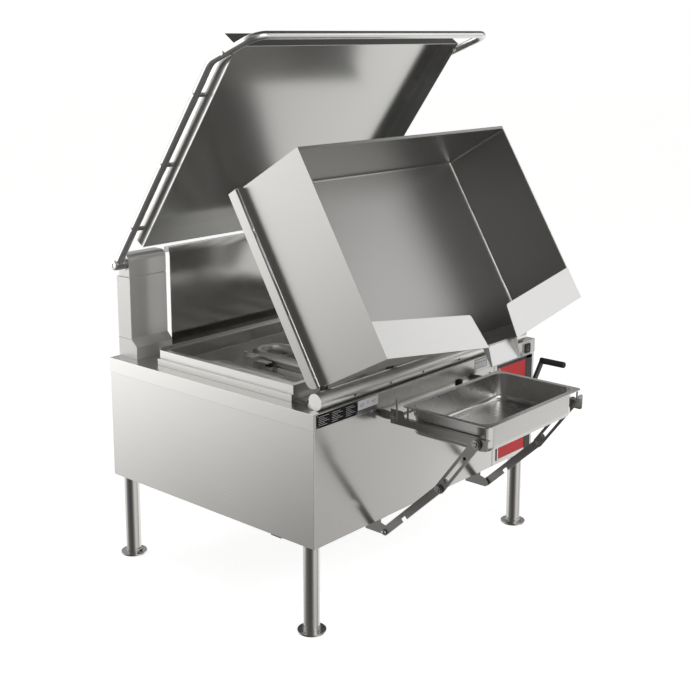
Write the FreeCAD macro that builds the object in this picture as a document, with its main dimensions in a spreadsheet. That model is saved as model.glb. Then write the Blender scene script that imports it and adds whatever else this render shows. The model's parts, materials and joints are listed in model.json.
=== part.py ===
import FreeCAD, Part
import os
import re
import Sketcher
from FreeCAD import Placement, Rotation, Vector

# Tilting skillet: a deep pan on a cabinet with four legs, tipped forward to pour, its lid up.
# Millimetres, +Z up. Inside this file x runs from the cabinet's left side, y from its front
# and z from the floor; every node is then moved so that the centre of the four feet is at 0, 0, 0.

SIZES = {
    # cabinet
    "cab_width": 1176, "cab_depth": 946, "cab_floor": 286, "deck_top": 703,
    "band_drop": 50, "sheet": 2, "return_width": 20, "console_width": 255,
    "frame_high": 40, "frame_flange": 36, "frame_wall": 4,
    # legs and feet
    "leg_radius": 25.5, "leg_wall": 2, "leg_side": 39, "leg_end": 48,
    "foot_radius": 44.5, "foot_thick": 6, "foot_collar": 12, "foot_bolt_circle": 35, "foot_hole": 5,
    # deck opening, curb and firebox
    "curb_left": 58, "curb_side": 26, "curb_front": 136, "curb_back": 198,
    "curb_ledge_high": 22, "curb_high": 49, "curb_back_high": 57, "curb_ledge": 10, "curb_lip": 20,
    "trough_front": 46, "liner_deep": 60,
    "pipe_radius": 10, "burner_radius": 22, "burner_bend": 60, "burner_back": 52, "burner_count": 4,
    "burner_side": 48, "gas_side": 160, "valve_drop": 140, "valve_high": 80, "valve_half": 30,
    "igniter_wide": 40, "electrode_long": 70, "igniter_long": 50,
    # bullnose along the front edge
    "nose_radius": 25.5, "nose_wall": 2, "nose_start": 34, "nose_side": 56, "nose_y": 26,
    # backsplash and hinge posts
    "splash_back": 134, "splash_top": 1076, "splash_start": 165, "splash_cap": 28,
    "post_start": 42, "post_width": 158, "post_back": 71, "post_top": 980, "post_flare": 26,
    "cap_top": 1058, "cap_deep": 57, "cap_radius": 24, "cap_gap": 2, "post_wall": 3,
    # pan: pivot, and the shell measured from the pivot with the pan level
    "tilt_y": 70, "tilt_z": 701, "tilt_angle": 59.1,
    "pan_left": 80, "pan_side": 48, "pan_front": 22, "pan_back": 190, "pan_rim": 337,
    "pan_base": 67, "pan_slope": 12.6, "pan_wall": 5, "pan_floor": 6, "pan_round": 8, "prow": 62,
    "spout_shift": 20, "spout_half": 78, "spout_grow": 20, "spout_drop": 20, "spout_long": 56,
    "splash_deep": 113, "splash_corner": 12,
    "skirt_out": 26, "skirt_base": 27, "skirt_front": 38, "skirt_round": 28,
    "plate_thick": 10, "fin_high": 16, "fin_count": 9,
    "shaft_radius": 12, "shaft_start": 62, "shaft_side": 76, "bearing_radius": 22,
    "arm_thick": 10,
    # lid: measured from its pivot with the lid closed
    "lid_back": 46, "lid_z": 1026, "lid_angle": 54.7, "lid_side": 40, "lid_rear": 115, "lid_over": 15,
    "lid_roof": 20, "lid_skirt": 44, "tube_radius": 12.5, "tube_side": 14, "tube_short": 70,
    "tube_kink": 33, "tube_drop": 205, "tube_bend": 70, "nose_bolt": 55, "stub_radius": 17,
    # drive, crank and controls
    "crank_side": 95, "crank_z": 537, "crank_arm": 120, "crank_angle": 52, "crank_shaft": 9,
    "crank_out": 40, "crank_thick": 10, "grip_radius": 11, "grip_long": 88, "box_half": 31,
    "panel_wide": 210, "panel_side": 20, "panel_low": 299, "panel_high": 650, "panel_edge": 7,
    "switch_side": 54, "switch_z": 677, "switch_size": 33, "knob_side": 171, "knob_z": 470,
    "knob_radius": 24, "knob_high": 22,
    # pan carrier and steam-table pan
    "rack_shift": 5, "rack_long": 522, "rack_deep": 321, "rack_front": -388, "rack_rim": 665,
    "rack_tall": 87, "rack_wall": 2, "rack_edge": 16, "rack_corner": 38,
    "rail_drop": 35, "rail_high": 23, "rail_front": -388, "rail_rear": -28, "rail_thick": 3,
    "rail_out": 5, "rail_shelf": 15, "tab_high": 10, "post_rod": 3,
    "hinge_y": -40, "hinge_drop": 40, "rod_radius": 6, "bolt_y": -351, "bolt_drop": 50,
    "elbow_y": -224, "elbow_z": 446, "root_y": -18, "root_drop": 34,
    "lug_inset": 6, "lug_thick": 6, "lug_half": 14, "catch_start": 88, "catch_end": 110,
    "link_thick": 4, "link_half": 13, "wide_half": 16, "slot_half": 6.5, "link_pin": 5, "link_gap": 3,
    # clearances
    "slide_fit": 0.05, "loose_fit": 0.3,
}

# Where things stand, worked out from the sizes above.
PLACES = {
    "crank_x": "cab_width - crank_side",
    "panel_right": "cab_width - panel_side",
    "panel_left": "cab_width - panel_side - panel_wide",
    "switch_x": "cab_width - switch_side",
    "knob_x": "cab_width - knob_side",
    "curb_right": "cab_width - curb_side",
    "curb_rear": "cab_depth - curb_back",
    "pan_right": "cab_width - pan_side",
    "pan_long": "cab_depth - tilt_y - pan_front - pan_back",
    "nose_end": "cab_width - nose_side",
    "shaft_end": "cab_width - shaft_side",
    "spout_x": "cab_width / 2 + spout_shift",
    "splash_y": "cab_depth - splash_back",
    "post_y": "cab_depth - post_back",
    "lid_y": "cab_depth - lid_back",
    "lid_front": "cab_depth - lid_back + lid_over",
    "tube_long": "cab_depth - lid_back - tube_short",
    "rack_left": "(cab_width - rack_long) / 2 - rack_shift",
    "rack_low": "rack_rim - rack_tall",
    "rail_top": "rack_rim - rail_drop",
    "rail_low": "rack_rim - rail_drop - rail_high",
    "tab_low": "rack_rim - rail_drop - rail_high - tab_high",
    "hinge_z": "rack_rim - hinge_drop",
    "bolt_z": "rack_rim - bolt_drop",
    "root_z": "cab_floor - root_drop",
    "lug_left": "(cab_width - rack_long) / 2 - rack_shift + lug_inset",
    "lug_right": "(cab_width + rack_long) / 2 - rack_shift - lug_inset - lug_thick",
}

document = FreeCAD.newDocument("tilting_skillet")
sheet = document.addObject("Spreadsheet::Sheet", "Sizes")
for row, (alias, value) in enumerate(SIZES.items(), start=1):
    sheet.set(f"A{row}", alias)
    sheet.set(f"B{row}", str(value))
    sheet.setAlias(f"B{row}", alias)
document.recompute()

WORD = re.compile(r"\b(" + "|".join(sorted(SIZES, key=len, reverse=True)) + r")\b")
PLACE_WORD = re.compile(r"\b(" + "|".join(sorted(PLACES, key=len, reverse=True)) + r")\b")
NODES = {}
AXES = {
    "X": Rotation(Vector(0, 1, 0), 90),
    "Y": Rotation(Vector(1, 0, 0), -90),
    "Z": Rotation(),
}


def spell(size):
    """Writes a formula with the sheet's own sizes in place of the names in PLACES."""
    return PLACE_WORD.sub(lambda found: f"({PLACES[found[1]]})", str(size))


def bind(thing, prop, size):
    """Drives one property by a formula of named sizes."""
    thing.setExpression(prop, WORD.sub(r"Sizes.\1", spell(size)))


def place(thing, x=0, y=0, z=0):
    for axis, value in zip("xyz", (x, y, z)):
        bind(thing, f"Placement.Base.{axis}", value)
    return thing


def block(x, y, z):
    """A box between two planes on each axis, given as (low, high) pairs."""
    made = document.addObject("Part::Box", "block")
    for prop, (low, high) in zip(("Length", "Width", "Height"), (x, y, z)):
        bind(made, prop, f"({high}) - ({low})")
    return place(made, x[0], y[0], z[0])


def rod(axis, radius, start, length):
    """A cylinder along X, Y or Z from a start point."""
    made = document.addObject("Part::Cylinder", "rod")
    bind(made, "Radius", radius)
    bind(made, "Height", length)
    made.Placement = Placement(Vector(), AXES[axis])
    return place(made, *start)


def join(*pieces):
    made = document.addObject("Part::MultiFuse", "join")
    made.Shapes = list(pieces)
    return made


def cut(base, *tools):
    made = document.addObject("Part::Cut", "cut")
    made.Base = base
    made.Tool = tools[0] if len(tools) == 1 else join(*tools)
    return made


def tube(axis, radius, wall, start, length):
    return cut(rod(axis, radius, start, length), rod(axis, f"{radius} - ({wall})", start, length))


def rounded(piece, radius, chosen):
    """Rounds the edges of a piece that the function chosen picks out."""
    document.recompute()
    made = document.addObject("Part::Fillet", "rounded")
    made.Base = piece
    picked = [n for n, edge in enumerate(piece.Shape.Edges, start=1) if chosen(edge)]
    size = evaluate(radius)
    made.Edges = [(n, size, size) for n in picked]
    return made


def evaluate(size):
    """The value now of a formula of named sizes."""
    if not isinstance(size, str):
        return float(size)
    return float(sheet.evalExpression(spell(size)))


def along(axis, **at):
    """Picks straight edges along an axis, at given places on the other axes."""
    number = "xyz".index(axis.lower())

    def chosen(edge):
        if len(edge.Vertexes) != 2:
            return False
        start, end = (v.Point for v in edge.Vertexes)
        if abs(abs(end[number] - start[number]) - edge.Length) > 1e-6:
            return False
        return all(abs(start["xyz".index(k)] - evaluate(v)) < 1e-3 for k, v in at.items())

    return chosen


def sketch(body, plane, points, height=0):
    """A closed outline on one of the body's planes, each corner bound to the sizes."""
    drawn = document.addObject("Sketcher::SketchObject", "outline")
    body.addObject(drawn)
    names = [feature.Role for feature in body.Origin.OriginFeatures]
    plane_object = body.Origin.OriginFeatures[names.index(f"{plane}_Plane")]
    drawn.AttachmentSupport = [(plane_object, "")]
    drawn.MapMode = "FlatFace"
    bind(drawn, "AttachmentOffset.Base.z", height)
    values = [(evaluate(a), evaluate(b)) for a, b in points]
    for (a, b), (c, d) in zip(values, values[1:] + values[:1]):
        drawn.addGeometry(Part.LineSegment(Vector(a, b, 0), Vector(c, d, 0)))
    for n in range(len(points)):
        drawn.addConstraint(Sketcher.Constraint("Coincident", n, 2, (n + 1) % len(points), 1))
    for n, corner in enumerate(points):
        for kind, size, value in zip(("DistanceX", "DistanceY"), corner, values[n]):
            at = drawn.addConstraint(Sketcher.Constraint(kind, -1, 1, n, 1, value))
            bind(drawn, f"Constraints[{at}]", size)
    return drawn


def feature(body, kind, profile):
    made = document.addObject(f"PartDesign::{kind}", kind)
    body.addObject(made)
    made.Profile = profile
    body.Tip = made
    return made


def plate(plane, points, start, thick):
    """A body padded from an outline on the XY, XZ or YZ plane, from start along that axis."""
    body = document.addObject("PartDesign::Body", "plate")
    height = f"-({start})" if plane == "XZ" else start
    pad = feature(body, "Pad", sketch(body, plane, points, height))
    bind(pad, "Length", thick)
    pad.Reversed = plane == "XZ"
    return body


GROUPS = {
    "cabinet": (0, "tilt_angle", 0, 0),
    "pan": (1, "tilt_angle", "tilt_y", "tilt_z"),
    "lid": (-1, "lid_angle", "lid_y", "lid_z"),
}


def node(label, group, *pieces):
    """Gathers pieces as one named part and turns and moves it as its group stands at rest."""
    made = document.addObject("Part::Compound", label)
    made.Label = label
    made.Links = list(pieces)
    sense, angle, y, z = GROUPS[group]
    if sense:
        made.Placement = Placement(Vector(), Rotation(Vector(sense, 0, 0), evaluate(angle)))
        bind(made, "Placement.Rotation.Angle", angle)
    place(made, "-cab_width / 2", f"({y}) - cab_depth / 2", z)
    NODES[label] = made
    return made


def mirrored(x):
    """The same x measured from the cabinet's right side."""
    return f"cab_width - ({x})"


def cabinet_frame():
    """The angle-iron base frame with its four leg sockets."""
    outer = block(("2 * sheet", "cab_width - 2 * sheet"), ("2 * sheet", "cab_depth - 2 * sheet"),
                  ("cab_floor + sheet", "cab_floor + sheet + frame_high"))
    hollow = block(("2 * sheet + frame_wall", "cab_width - 2 * sheet - frame_wall"),
                   ("2 * sheet + frame_wall", "cab_depth - 2 * sheet - frame_wall"),
                   ("cab_floor + sheet + frame_wall", "cab_floor + 2 * frame_high"))
    middle = block(("2 * sheet + frame_flange", "cab_width - 2 * sheet - frame_flange"),
                   ("2 * sheet + frame_flange", "cab_depth - 2 * sheet - frame_flange"),
                   ("cab_floor - 1", "cab_floor + frame_high"))
    ring = cut(outer, hollow, middle)
    sockets = [rod("Z", "leg_radius + 2 * frame_wall", (x, y, "cab_floor + sheet"), "frame_high + 8")
               for x, y in LEG_PLACES]
    bores = [rod("Z", "leg_radius + 2 * slide_fit", (x, y, "cab_floor - 1"), "frame_high + 6")
             for x, y in LEG_PLACES]
    node("base_frame", "cabinet", cut(join(ring, *sockets), *bores))


LEG_PLACES = [("leg_side", "leg_end"), ("cab_width - leg_side", "leg_end"),
              ("leg_side", "cab_depth - leg_end"), ("cab_width - leg_side", "cab_depth - leg_end")]
LEG_NAMES = ["front_left", "front_right", "rear_left", "rear_right"]


def legs():
    """A tube in each socket, standing in a flanged foot with four bolt holes."""
    feet = []
    for name, (x, y) in zip(LEG_NAMES, LEG_PLACES):
        node(f"leg_{name}", "cabinet",
             tube("Z", "leg_radius", "leg_wall", (x, y, "foot_thick"),
                  "cab_floor + frame_high + 5 - foot_thick"))
        disc = rod("Z", "foot_radius", (x, y, 0), "foot_thick")
        collar = rod("Z", "leg_radius + 3", (x, y, "foot_thick"), "foot_collar")
        socket = rod("Z", "leg_radius + slide_fit", (x, y, "foot_thick"), "foot_collar + 1")
        holes = [rod("Z", "foot_hole", (f"{x} + {dx} * foot_bolt_circle",
                                        f"{y} + {dy} * foot_bolt_circle", -1), "foot_thick + 2")
                 for dx, dy in ((1, 0), (0, 1), (-1, 0), (0, -1))]
        feet.append(cut(join(disc, collar), socket, *holes))
    node("feet", "cabinet", *feet)


def panels():
    """Side, front and rear sheets that hang inside the deck's band, with a return at the foot."""
    top = "deck_top - sheet"
    for label, x, inner in (("left_panel", ("sheet", "2 * sheet"), ("sheet", "sheet + return_width")),
                            ("right_panel", ("cab_width - 2 * sheet", "cab_width - sheet"),
                             ("cab_width - sheet - return_width", "cab_width - sheet"))):
        wall = block(x, ("sheet", "cab_depth - sheet"), ("cab_floor", top))
        foot = block(inner, ("leg_end + leg_radius + 6", "cab_depth - leg_end - leg_radius - 6"),
                     ("cab_floor", "cab_floor + sheet"))
        node(label, "cabinet", join(wall, foot))
    seam = "cab_width - console_width"
    for label, x in (("front_panel", ("2 * sheet", seam)),
                     ("console_face", (f"{seam} + 1", "cab_width - 2 * sheet"))):
        wall = block(x, ("sheet", "2 * sheet"), ("cab_floor", top))
        foot = block((f"{x[0]} + return_width", f"{x[1]} - return_width"),
                     ("sheet", "sheet + return_width"), ("cab_floor", "cab_floor + sheet"))
        made = join(wall, foot)
        if label == "console_face":
            made = cut(made, rod("Y", "crank_shaft + loose_fit", ("crank_x", 0, "crank_z"), 10),
                       rod("Y", "knob_radius / 4 + loose_fit", ("knob_x", 0, "knob_z"), 10))
        node(label, "cabinet", made)
    wall = block(("2 * sheet", "cab_width - 2 * sheet"), ("cab_depth - 2 * sheet", "cab_depth - sheet"),
                 ("cab_floor", top))
    slots = [block((f"cab_width / 2 + {n} * 60 - 20", f"cab_width / 2 + {n} * 60 + 20"),
                   ("cab_depth - 10", "cab_depth"), (f"cab_floor + {z}", f"cab_floor + {z} + 8"))
             for n in (-4, -3, -2, 2, 3, 4) for z in (60, 90, 120)]
    gas = rod("Y", "pipe_radius + 2", ("cab_width - gas_side", "cab_depth - 10", "cab_floor + 90"), 20)
    node("rear_panel", "cabinet", cut(wall, gas, *slots))


def deck():
    """The top sheet with its down-turned band, open over the firebox and the tilt shaft."""
    outer = block((0, "cab_width"), (0, "cab_depth"), ("deck_top - band_drop", "deck_top"))
    inner = block(("sheet", "cab_width - sheet"), ("sheet", "cab_depth - sheet"),
                  ("deck_top - 2 * band_drop", "deck_top - sheet"))
    opening = block(("curb_left + 2 * sheet", "curb_right - 2 * sheet"),
                    ("trough_front", "curb_rear - 2 * sheet"), ("deck_top - 10", "deck_top + 10"))
    # the band is notched where a carrier lug would meet it
    notches = [block((f"{x} - loose_fit", f"{x} + lug_thick + loose_fit"), (-1, "sheet"),
                     ("hinge_z - lug_half - loose_fit", "hinge_z + lug_half + loose_fit"))
               for x in ("lug_left", "lug_right")]
    node("top_deck", "cabinet", cut(outer, inner, opening, *notches))


def curb():
    """The stepped curb that the pan's skirt drops over, higher at the back."""
    top = "deck_top + curb_high"
    ledge = block(("curb_left - curb_ledge", "curb_right + curb_ledge"),
                  ("curb_front - sheet", "curb_rear + sheet"), ("deck_top", "deck_top + curb_ledge_high"))
    wall = block(("curb_left", "curb_right"), ("curb_front", "curb_rear"), ("deck_top", top))
    back = block(("curb_left", "curb_right"), ("curb_rear - sheet", "curb_rear"),
                 ("deck_top", "deck_top + curb_back_high"))
    inside = block(("curb_left + sheet", "curb_right - sheet"),
                   ("curb_front + sheet", "curb_rear - sheet"), ("deck_top - 1", f"{top} - sheet"))
    mouth = block(("curb_left + curb_lip", "curb_right - curb_lip"),
                  ("curb_front + curb_lip", "curb_rear - curb_lip"), ("deck_top", f"{top} + 1"))
    node("firebox_curb", "cabinet", cut(join(ledge, wall, back), inside, mouth))


def firebox():
    """The heated box under the pan: liner, tube burners, their manifold, igniter and gas train."""
    left, right = "curb_left + 2 * sheet", "curb_right - 2 * sheet"
    front, rear = "curb_front + 2 * sheet", "curb_rear - 2 * sheet"
    low = "deck_top - liner_deep"
    outer = block((left, right), (front, rear), (low, "deck_top"))
    inner = block((f"{left} + sheet", f"{right} - sheet"), (f"{front} + sheet", f"{rear} - sheet"),
                  (f"{low} + sheet", "deck_top + 1"))
    first = f"{left} + burner_side"
    count = int(SIZES["burner_count"])
    pitch = f"({right} - ({left}) - 2 * burner_side - 2 * burner_bend) / (burner_count - 1)"
    axis_z = f"{low} + sheet + burner_radius + 14"
    lines = [f"{first} + {n} * {pitch}" for n in range(count)]
    holes = [rod("Y", "8 + loose_fit", (x, f"{front} - 5", axis_z), 20) for x in lines]
    node("firebox_liner", "cabinet", cut(outer, inner, *holes))

    # each burner is a hairpin: two legs from front to rear, joined by a bend at the rear
    burners = []
    bend_y = f"({rear} - burner_back - burner_bend - burner_radius)"
    for x in lines:
        pieces, slots = [rod("Y", 8, (x, f"{front} - 24", axis_z), 60)], []
        for leg in (x, f"{x} + 2 * burner_bend"):
            pieces.append(rod("Y", "burner_radius", (leg, f"{front} + 25", axis_z),
                              f"{bend_y} - ({front}) - 25"))
            slots.append(block((f"{leg} - 3", f"{leg} + 3"), (f"{front} + 50", f"{bend_y} - 20"),
                               (f"{axis_z} + burner_radius - 3", f"{axis_z} + burner_radius + 1")))
            pieces += [block((f"{leg} - 10", f"{leg} + 10"), (y, f"{y} + 4"),
                             (f"{low} + sheet", f"{axis_z} - burner_radius + 2"))
                       for y in (f"{front} + 60", f"{bend_y} - 60")]
        bend = document.addObject("Part::Torus", "bend")
        bind(bend, "Radius1", "burner_bend")
        bind(bend, "Radius2", "burner_radius")
        bend.Angle3 = 180
        pieces.append(place(bend, f"{x} + burner_bend", bend_y, axis_z))
        burners.append(cut(join(*pieces), *slots))
    node("burner_tubes", "cabinet", *burners)

    # the manifold runs from the first burner past the valve's drop pipe
    rail_y, gas_x = f"{front} - 24 - 12", "cab_width - gas_side"
    pipe = rod("X", 12, (f"{lines[0]} - 30", rail_y, axis_z), f"{gas_x} + 14 - ({lines[0]} - 30)")
    jets = [rod("Y", 5, (x, rail_y, axis_z), 12) for x in lines]
    drop = rod("Z", 8, (gas_x, rail_y, f"{axis_z} - valve_drop"), "valve_drop")
    node("burner_manifold", "cabinet", join(pipe, drop, *jets))

    valve = join(block((f"{gas_x} - valve_half", f"{gas_x} + valve_half"),
                       (f"{rail_y} - valve_half", f"{rail_y} + valve_half"),
                       (f"{axis_z} - valve_drop - valve_high", f"{axis_z} - valve_drop")),
                 rod("Z", 22, (gas_x, rail_y, f"{axis_z} - valve_drop - valve_high - 12"), 14))
    node("gas_valve", "cabinet", valve)
    run_z = "cab_floor + 90"
    riser_high = f"({axis_z} - valve_drop - valve_high) - ({run_z})"
    pipe = rod("Y", "pipe_radius", (gas_x, rail_y, run_z), f"cab_depth + 20 - ({rail_y})")
    riser = rod("Z", "pipe_radius", (gas_x, rail_y, run_z), f"{riser_high} - 12")
    elbow = document.addObject("Part::Sphere", "elbow")
    bind(elbow, "Radius", "pipe_radius + 2")
    place(elbow, gas_x, rail_y, run_z)
    union = rod("Y", "pipe_radius + 3", (gas_x, "cab_depth", run_z), 24)
    node("gas_inlet_pipe", "cabinet", join(pipe, riser, elbow, union))

    # the igniter box stands on a bracket between the first two burners
    box_x = (f"{lines[1]} - burner_radius - 14 - igniter_wide", f"{lines[1]} - burner_radius - 14")
    box_y = (f"{bend_y} - 30", f"{bend_y} - 30 + igniter_long")
    box = block(box_x, box_y, (f"{axis_z} - 13", f"{axis_z} + 20"))
    bracket = block((f"{box_x[0]} + 8", f"{box_x[1]} - 8"), (f"{box_y[0]} + 10", f"{box_y[0]} + 14"),
                    (f"{low} + sheet", f"{axis_z} - 13"))
    wires = [rod("Y", 2.5, (f"{box_x[0]} + {share} * igniter_wide", f"{box_y[0]} + 10 - electrode_long",
                           f"{axis_z} + 8"), "electrode_long")
             for share in (0.25, 0.5, 0.75)]
    node("igniter", "cabinet", join(box, bracket, *wires))


def bullnose():
    """The round rail along the front edge, on the deck, with its end caps."""
    z = "deck_top + nose_radius"
    long = "nose_end - nose_start"
    shell = tube("X", "nose_radius", "nose_wall", ("nose_start", "nose_y", z), long)
    caps = [rod("X", "nose_radius - nose_wall", (x, "nose_y", z), "nose_wall")
            for x in ("nose_start", "nose_end - nose_wall")]
    node("bullnose_rail", "cabinet", join(shell, *caps))


def bearings():
    """Two blocks under the deck's front strip that carry the tilt shaft, and the gearbox."""
    blocks = []
    for x in ("shaft_start + 6", "crank_x - 90"):
        ring = rod("X", "bearing_radius", (x, "tilt_y", "tilt_z"), 26)
        foot = block((x, f"{x} + 26"), ("3 * sheet", "tilt_y"), ("tilt_z - 18", "deck_top - sheet"))
        web = block((x, f"{x} + 26"), ("tilt_y - 10", "tilt_y + 10"), ("tilt_z - 18", "tilt_z"))
        bore = rod("X", "shaft_radius + slide_fit", (f"{x} - 1", "tilt_y", "tilt_z"), 28)
        blocks.append(cut(join(ring, foot, web), bore))
    node("shaft_bearings", "cabinet", *blocks)

    case = block(("crank_x - box_half", "crank_x + box_half"), ("2 * sheet", "tilt_y + 34"),
                 ("crank_z - 34", "tilt_z - 18"))
    case = rounded(case, 8, along("z"))
    head = rod("X", "bearing_radius", ("crank_x - box_half", "tilt_y", "tilt_z"), "2 * box_half")
    neck = block(("crank_x - box_half", "crank_x + box_half"),
                 ("tilt_y - bearing_radius + 4", "tilt_y + bearing_radius - 4"), ("tilt_z - 30", "tilt_z"))
    shaft = rod("X", "shaft_radius + slide_fit", ("crank_x - box_half - 1", "tilt_y", "tilt_z"),
                "shaft_end - crank_x + box_half + 2")
    crank = rod("Y", "crank_shaft + slide_fit", ("crank_x", 0, "crank_z"), "tilt_y + 1")
    node("tilt_gearbox", "cabinet", cut(join(case, head, neck), shaft, crank))


def hinge_posts():
    """A post at each rear corner, flared at its foot, with a cap that holds the lid's stub."""
    rear = "cab_depth - 2"
    rings = []
    for side in ("left", "right"):
        start = "post_start" if side == "left" else mirrored("post_start + post_width")
        flare = [("post_y - post_flare", "deck_top"), (rear, "deck_top"), (rear, "post_top"),
                 ("post_y", "post_top"), ("post_y", "deck_top + 67"),
                 ("post_y - post_flare", "deck_top + 42")]
        shell = plate("YZ", flare, start, "post_width")
        hollow = block((f"{start} + post_wall", f"{start} + post_width - post_wall"),
                       ("post_y + post_wall", f"{rear} - post_wall"),
                       ("deck_top - 1", "post_top - post_wall"))
        node(f"hinge_post_{side}", "cabinet", cut(shell, hollow))

        base, behind = "post_top + cap_gap", "post_y + cap_deep"
        body = block((start, f"{start} + post_width"), ("post_y", behind), ("post_top", "cap_top"))
        body = rounded(body, "cap_radius", along("x", y="post_y", z="cap_top"))
        inside = block((f"{start} + post_wall", f"{start} + post_width - post_wall"),
                       ("post_y + post_wall", f"{behind} - post_wall"),
                       ("post_top - 1", "cap_top - post_wall"))
        inside = rounded(inside, "cap_radius - post_wall",
                         along("x", y="post_y + post_wall", z="cap_top - post_wall"))
        groove = cut(block((f"{start} - 1", f"{start} + post_width + 1"), ("post_y - 1", f"{behind} + 1"),
                           ("post_top", base)),
                     block((f"{start} + 2", f"{start} + post_width - 2"), ("post_y + 2", f"{behind} - 2"),
                           ("post_top - 1", f"{base} + 1")))
        holes = rod("X", "stub_radius + 4", (f"{start} - 1", "lid_y", "lid_z"), "post_width + 2")
        node(f"hinge_cap_{side}", "cabinet", cut(body, inside, groove, holes))
        rings += [tube("X", "stub_radius + 4", "4 - slide_fit", (x, "lid_y", "lid_z"), 8)
                  for x in (f"{start} - 2", f"{start} + post_width - 6")]
    node("hinge_bushes", "cabinet", *rings)


def backsplash():
    """The sheet behind the pan, its head folded back as a channel."""
    y, top = "splash_y", "splash_top"
    outline = [(y, "deck_top"), (y, f"{top} - splash_cap"), (f"{y} + 5", top), (f"{y} + 30", top),
               (f"{y} + 30", f"{top} - 22"), (f"{y} + 28", f"{top} - 22"), (f"{y} + 28", f"{top} - sheet"),
               (f"{y} + 7", f"{top} - sheet"), (f"{y} + sheet", f"{top} - splash_cap - 1"),
               (f"{y} + sheet", "deck_top + sheet"), (f"{y} + 22", "deck_top + sheet"),
               (f"{y} + 22", "deck_top")]
    # its ends stop short of the hinge posts' faces, so a strip stays open beside each post
    node("backsplash", "cabinet", plate("YZ", outline, "splash_start", "cab_width - 2 * splash_start"))


def controls():
    """The red panel in its black frame, the switch bezel and the knob's bush."""
    x, z = ("panel_left", "panel_right"), ("panel_low", "panel_high")
    inner_x = ("panel_left + panel_edge", "panel_right - panel_edge")
    inner_z = ("panel_low + panel_edge", "panel_high - panel_edge")
    holes = [rod("Y", "crank_shaft + loose_fit", ("crank_x", -20, "crank_z"), 30),
             rod("Y", "knob_radius / 4 + loose_fit", ("knob_x", -20, "knob_z"), 30)]
    frame = cut(block(x, ("sheet - 4", "sheet"), z), block(inner_x, ("sheet - 5", "sheet + 1"), inner_z))
    node("control_frame", "cabinet", frame)
    red = cut(block(inner_x, ("sheet - 3", "sheet"), inner_z), *holes)
    node("control_panel", "cabinet", red)

    half = "switch_size / 2"
    square = block((f"switch_x - {half}", f"switch_x + {half}"), (-6, 0),
                   (f"switch_z - {half}", f"switch_z + {half}"))
    square = rounded(square, 3, along("y"))
    well = block((f"switch_x - {half} + 5", f"switch_x + {half} - 5"), (-7, -0.5),
                 (f"switch_z - {half} + 4", f"switch_z + {half} - 4"))
    pin = rod("X", 1.5, (f"switch_x - {half} + 3", -4, "switch_z"), "switch_size - 6")
    node("switch_bezel", "cabinet", join(cut(square, well), pin))
    rocker = block((f"switch_x - {half} + 5.5", f"switch_x + {half} - 5.5"), (-8, -2.5),
                   (f"switch_z - {half} + 5", f"switch_z + {half} - 5"))
    dish = rod("X", 30, (f"switch_x - {half}", -35.5, "switch_z"), "switch_size")
    eye = rod("X", 1.5, (f"switch_x - {half}", -4, "switch_z"), "switch_size")
    bind(eye, "Radius", "1.5 + slide_fit")
    node("switch_rocker", "cabinet", cut(rocker, dish, eye))

    skirt = document.addObject("Part::Cone", "knob_skirt")
    bind(skirt, "Radius1", "knob_radius")
    bind(skirt, "Radius2", "knob_radius - 3")
    bind(skirt, "Height", "knob_high")
    skirt.Placement = Placement(Vector(), Rotation(Vector(1, 0, 0), 90))
    place(skirt, "knob_x", "sheet - 4", "knob_z")
    grip = block(("knob_x - 4", "knob_x + 4"), ("sheet - 4 - knob_high - 5", "sheet - 4 - knob_high + 2"),
                 ("knob_z - knob_radius + 4", "knob_z + knob_radius - 4"))
    spindle = rod("Y", "knob_radius / 4", ("knob_x", "sheet - 6", "knob_z"), 14)
    node("thermostat_knob", "cabinet", join(skirt, grip, spindle))
    body = cut(block(("knob_x - 22", "knob_x + 22"), ("2 * sheet", "2 * sheet + 30"),
                     ("knob_z - 22", "knob_z + 22")),
               rod("Y", "knob_radius / 4 + slide_fit", ("knob_x", 0, "knob_z"), 16))
    node("thermostat", "cabinet", body)


def crank():
    """The tilt crank: shaft into the gearbox, flat arm and a grip that spins on its pin."""
    face = "-crank_out"
    shaft = rod("Y", "crank_shaft", ("crank_x", face, "crank_z"), "tilt_y - 2 + crank_out")
    node("crank_spindle", "cabinet", shaft)
    end_x = "crank_x + crank_arm * cos(crank_angle * 1deg)"
    end_z = "crank_z + crank_arm * sin(crank_angle * 1deg)"
    start = f"{face} - crank_thick"
    bar = block((0, "crank_arm"), (0, "crank_thick"), (-9, 9))
    arm = document.addObject("Part::Compound", "arm")
    arm.Links = [bar]
    arm.Placement = Placement(Vector(), Rotation(Vector(0, -1, 0), evaluate("crank_angle")))
    bind(arm, "Placement.Rotation.Angle", "crank_angle")
    place(arm, "crank_x", start, "crank_z")
    hub = rod("Y", "crank_shaft + 7", ("crank_x", f"{start} - 2", "crank_z"), "crank_thick + 14")
    eye = rod("Y", "grip_radius", (end_x, start, end_z), "crank_thick")
    bore = rod("Y", "crank_shaft", ("crank_x", face, "crank_z"), 40)
    pin = rod("Y", 4, (end_x, f"{start} - grip_long - 3", end_z), "grip_long + 8")
    node("crank_lever", "cabinet", cut(join(arm, hub, eye, pin), bore))
    grip = rod("Y", "grip_radius", (end_x, f"{start} - 0.5 - grip_long", end_z), "grip_long")
    grip = rounded(grip, 4, lambda edge: edge.Length > 20 and len(edge.Vertexes) == 1)
    bore = rod("Y", "4 + slide_fit", (end_x, f"{start} - grip_long - 5", end_z), "grip_long + 10")
    node("crank_grip", "cabinet", cut(grip, bore))


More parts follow.
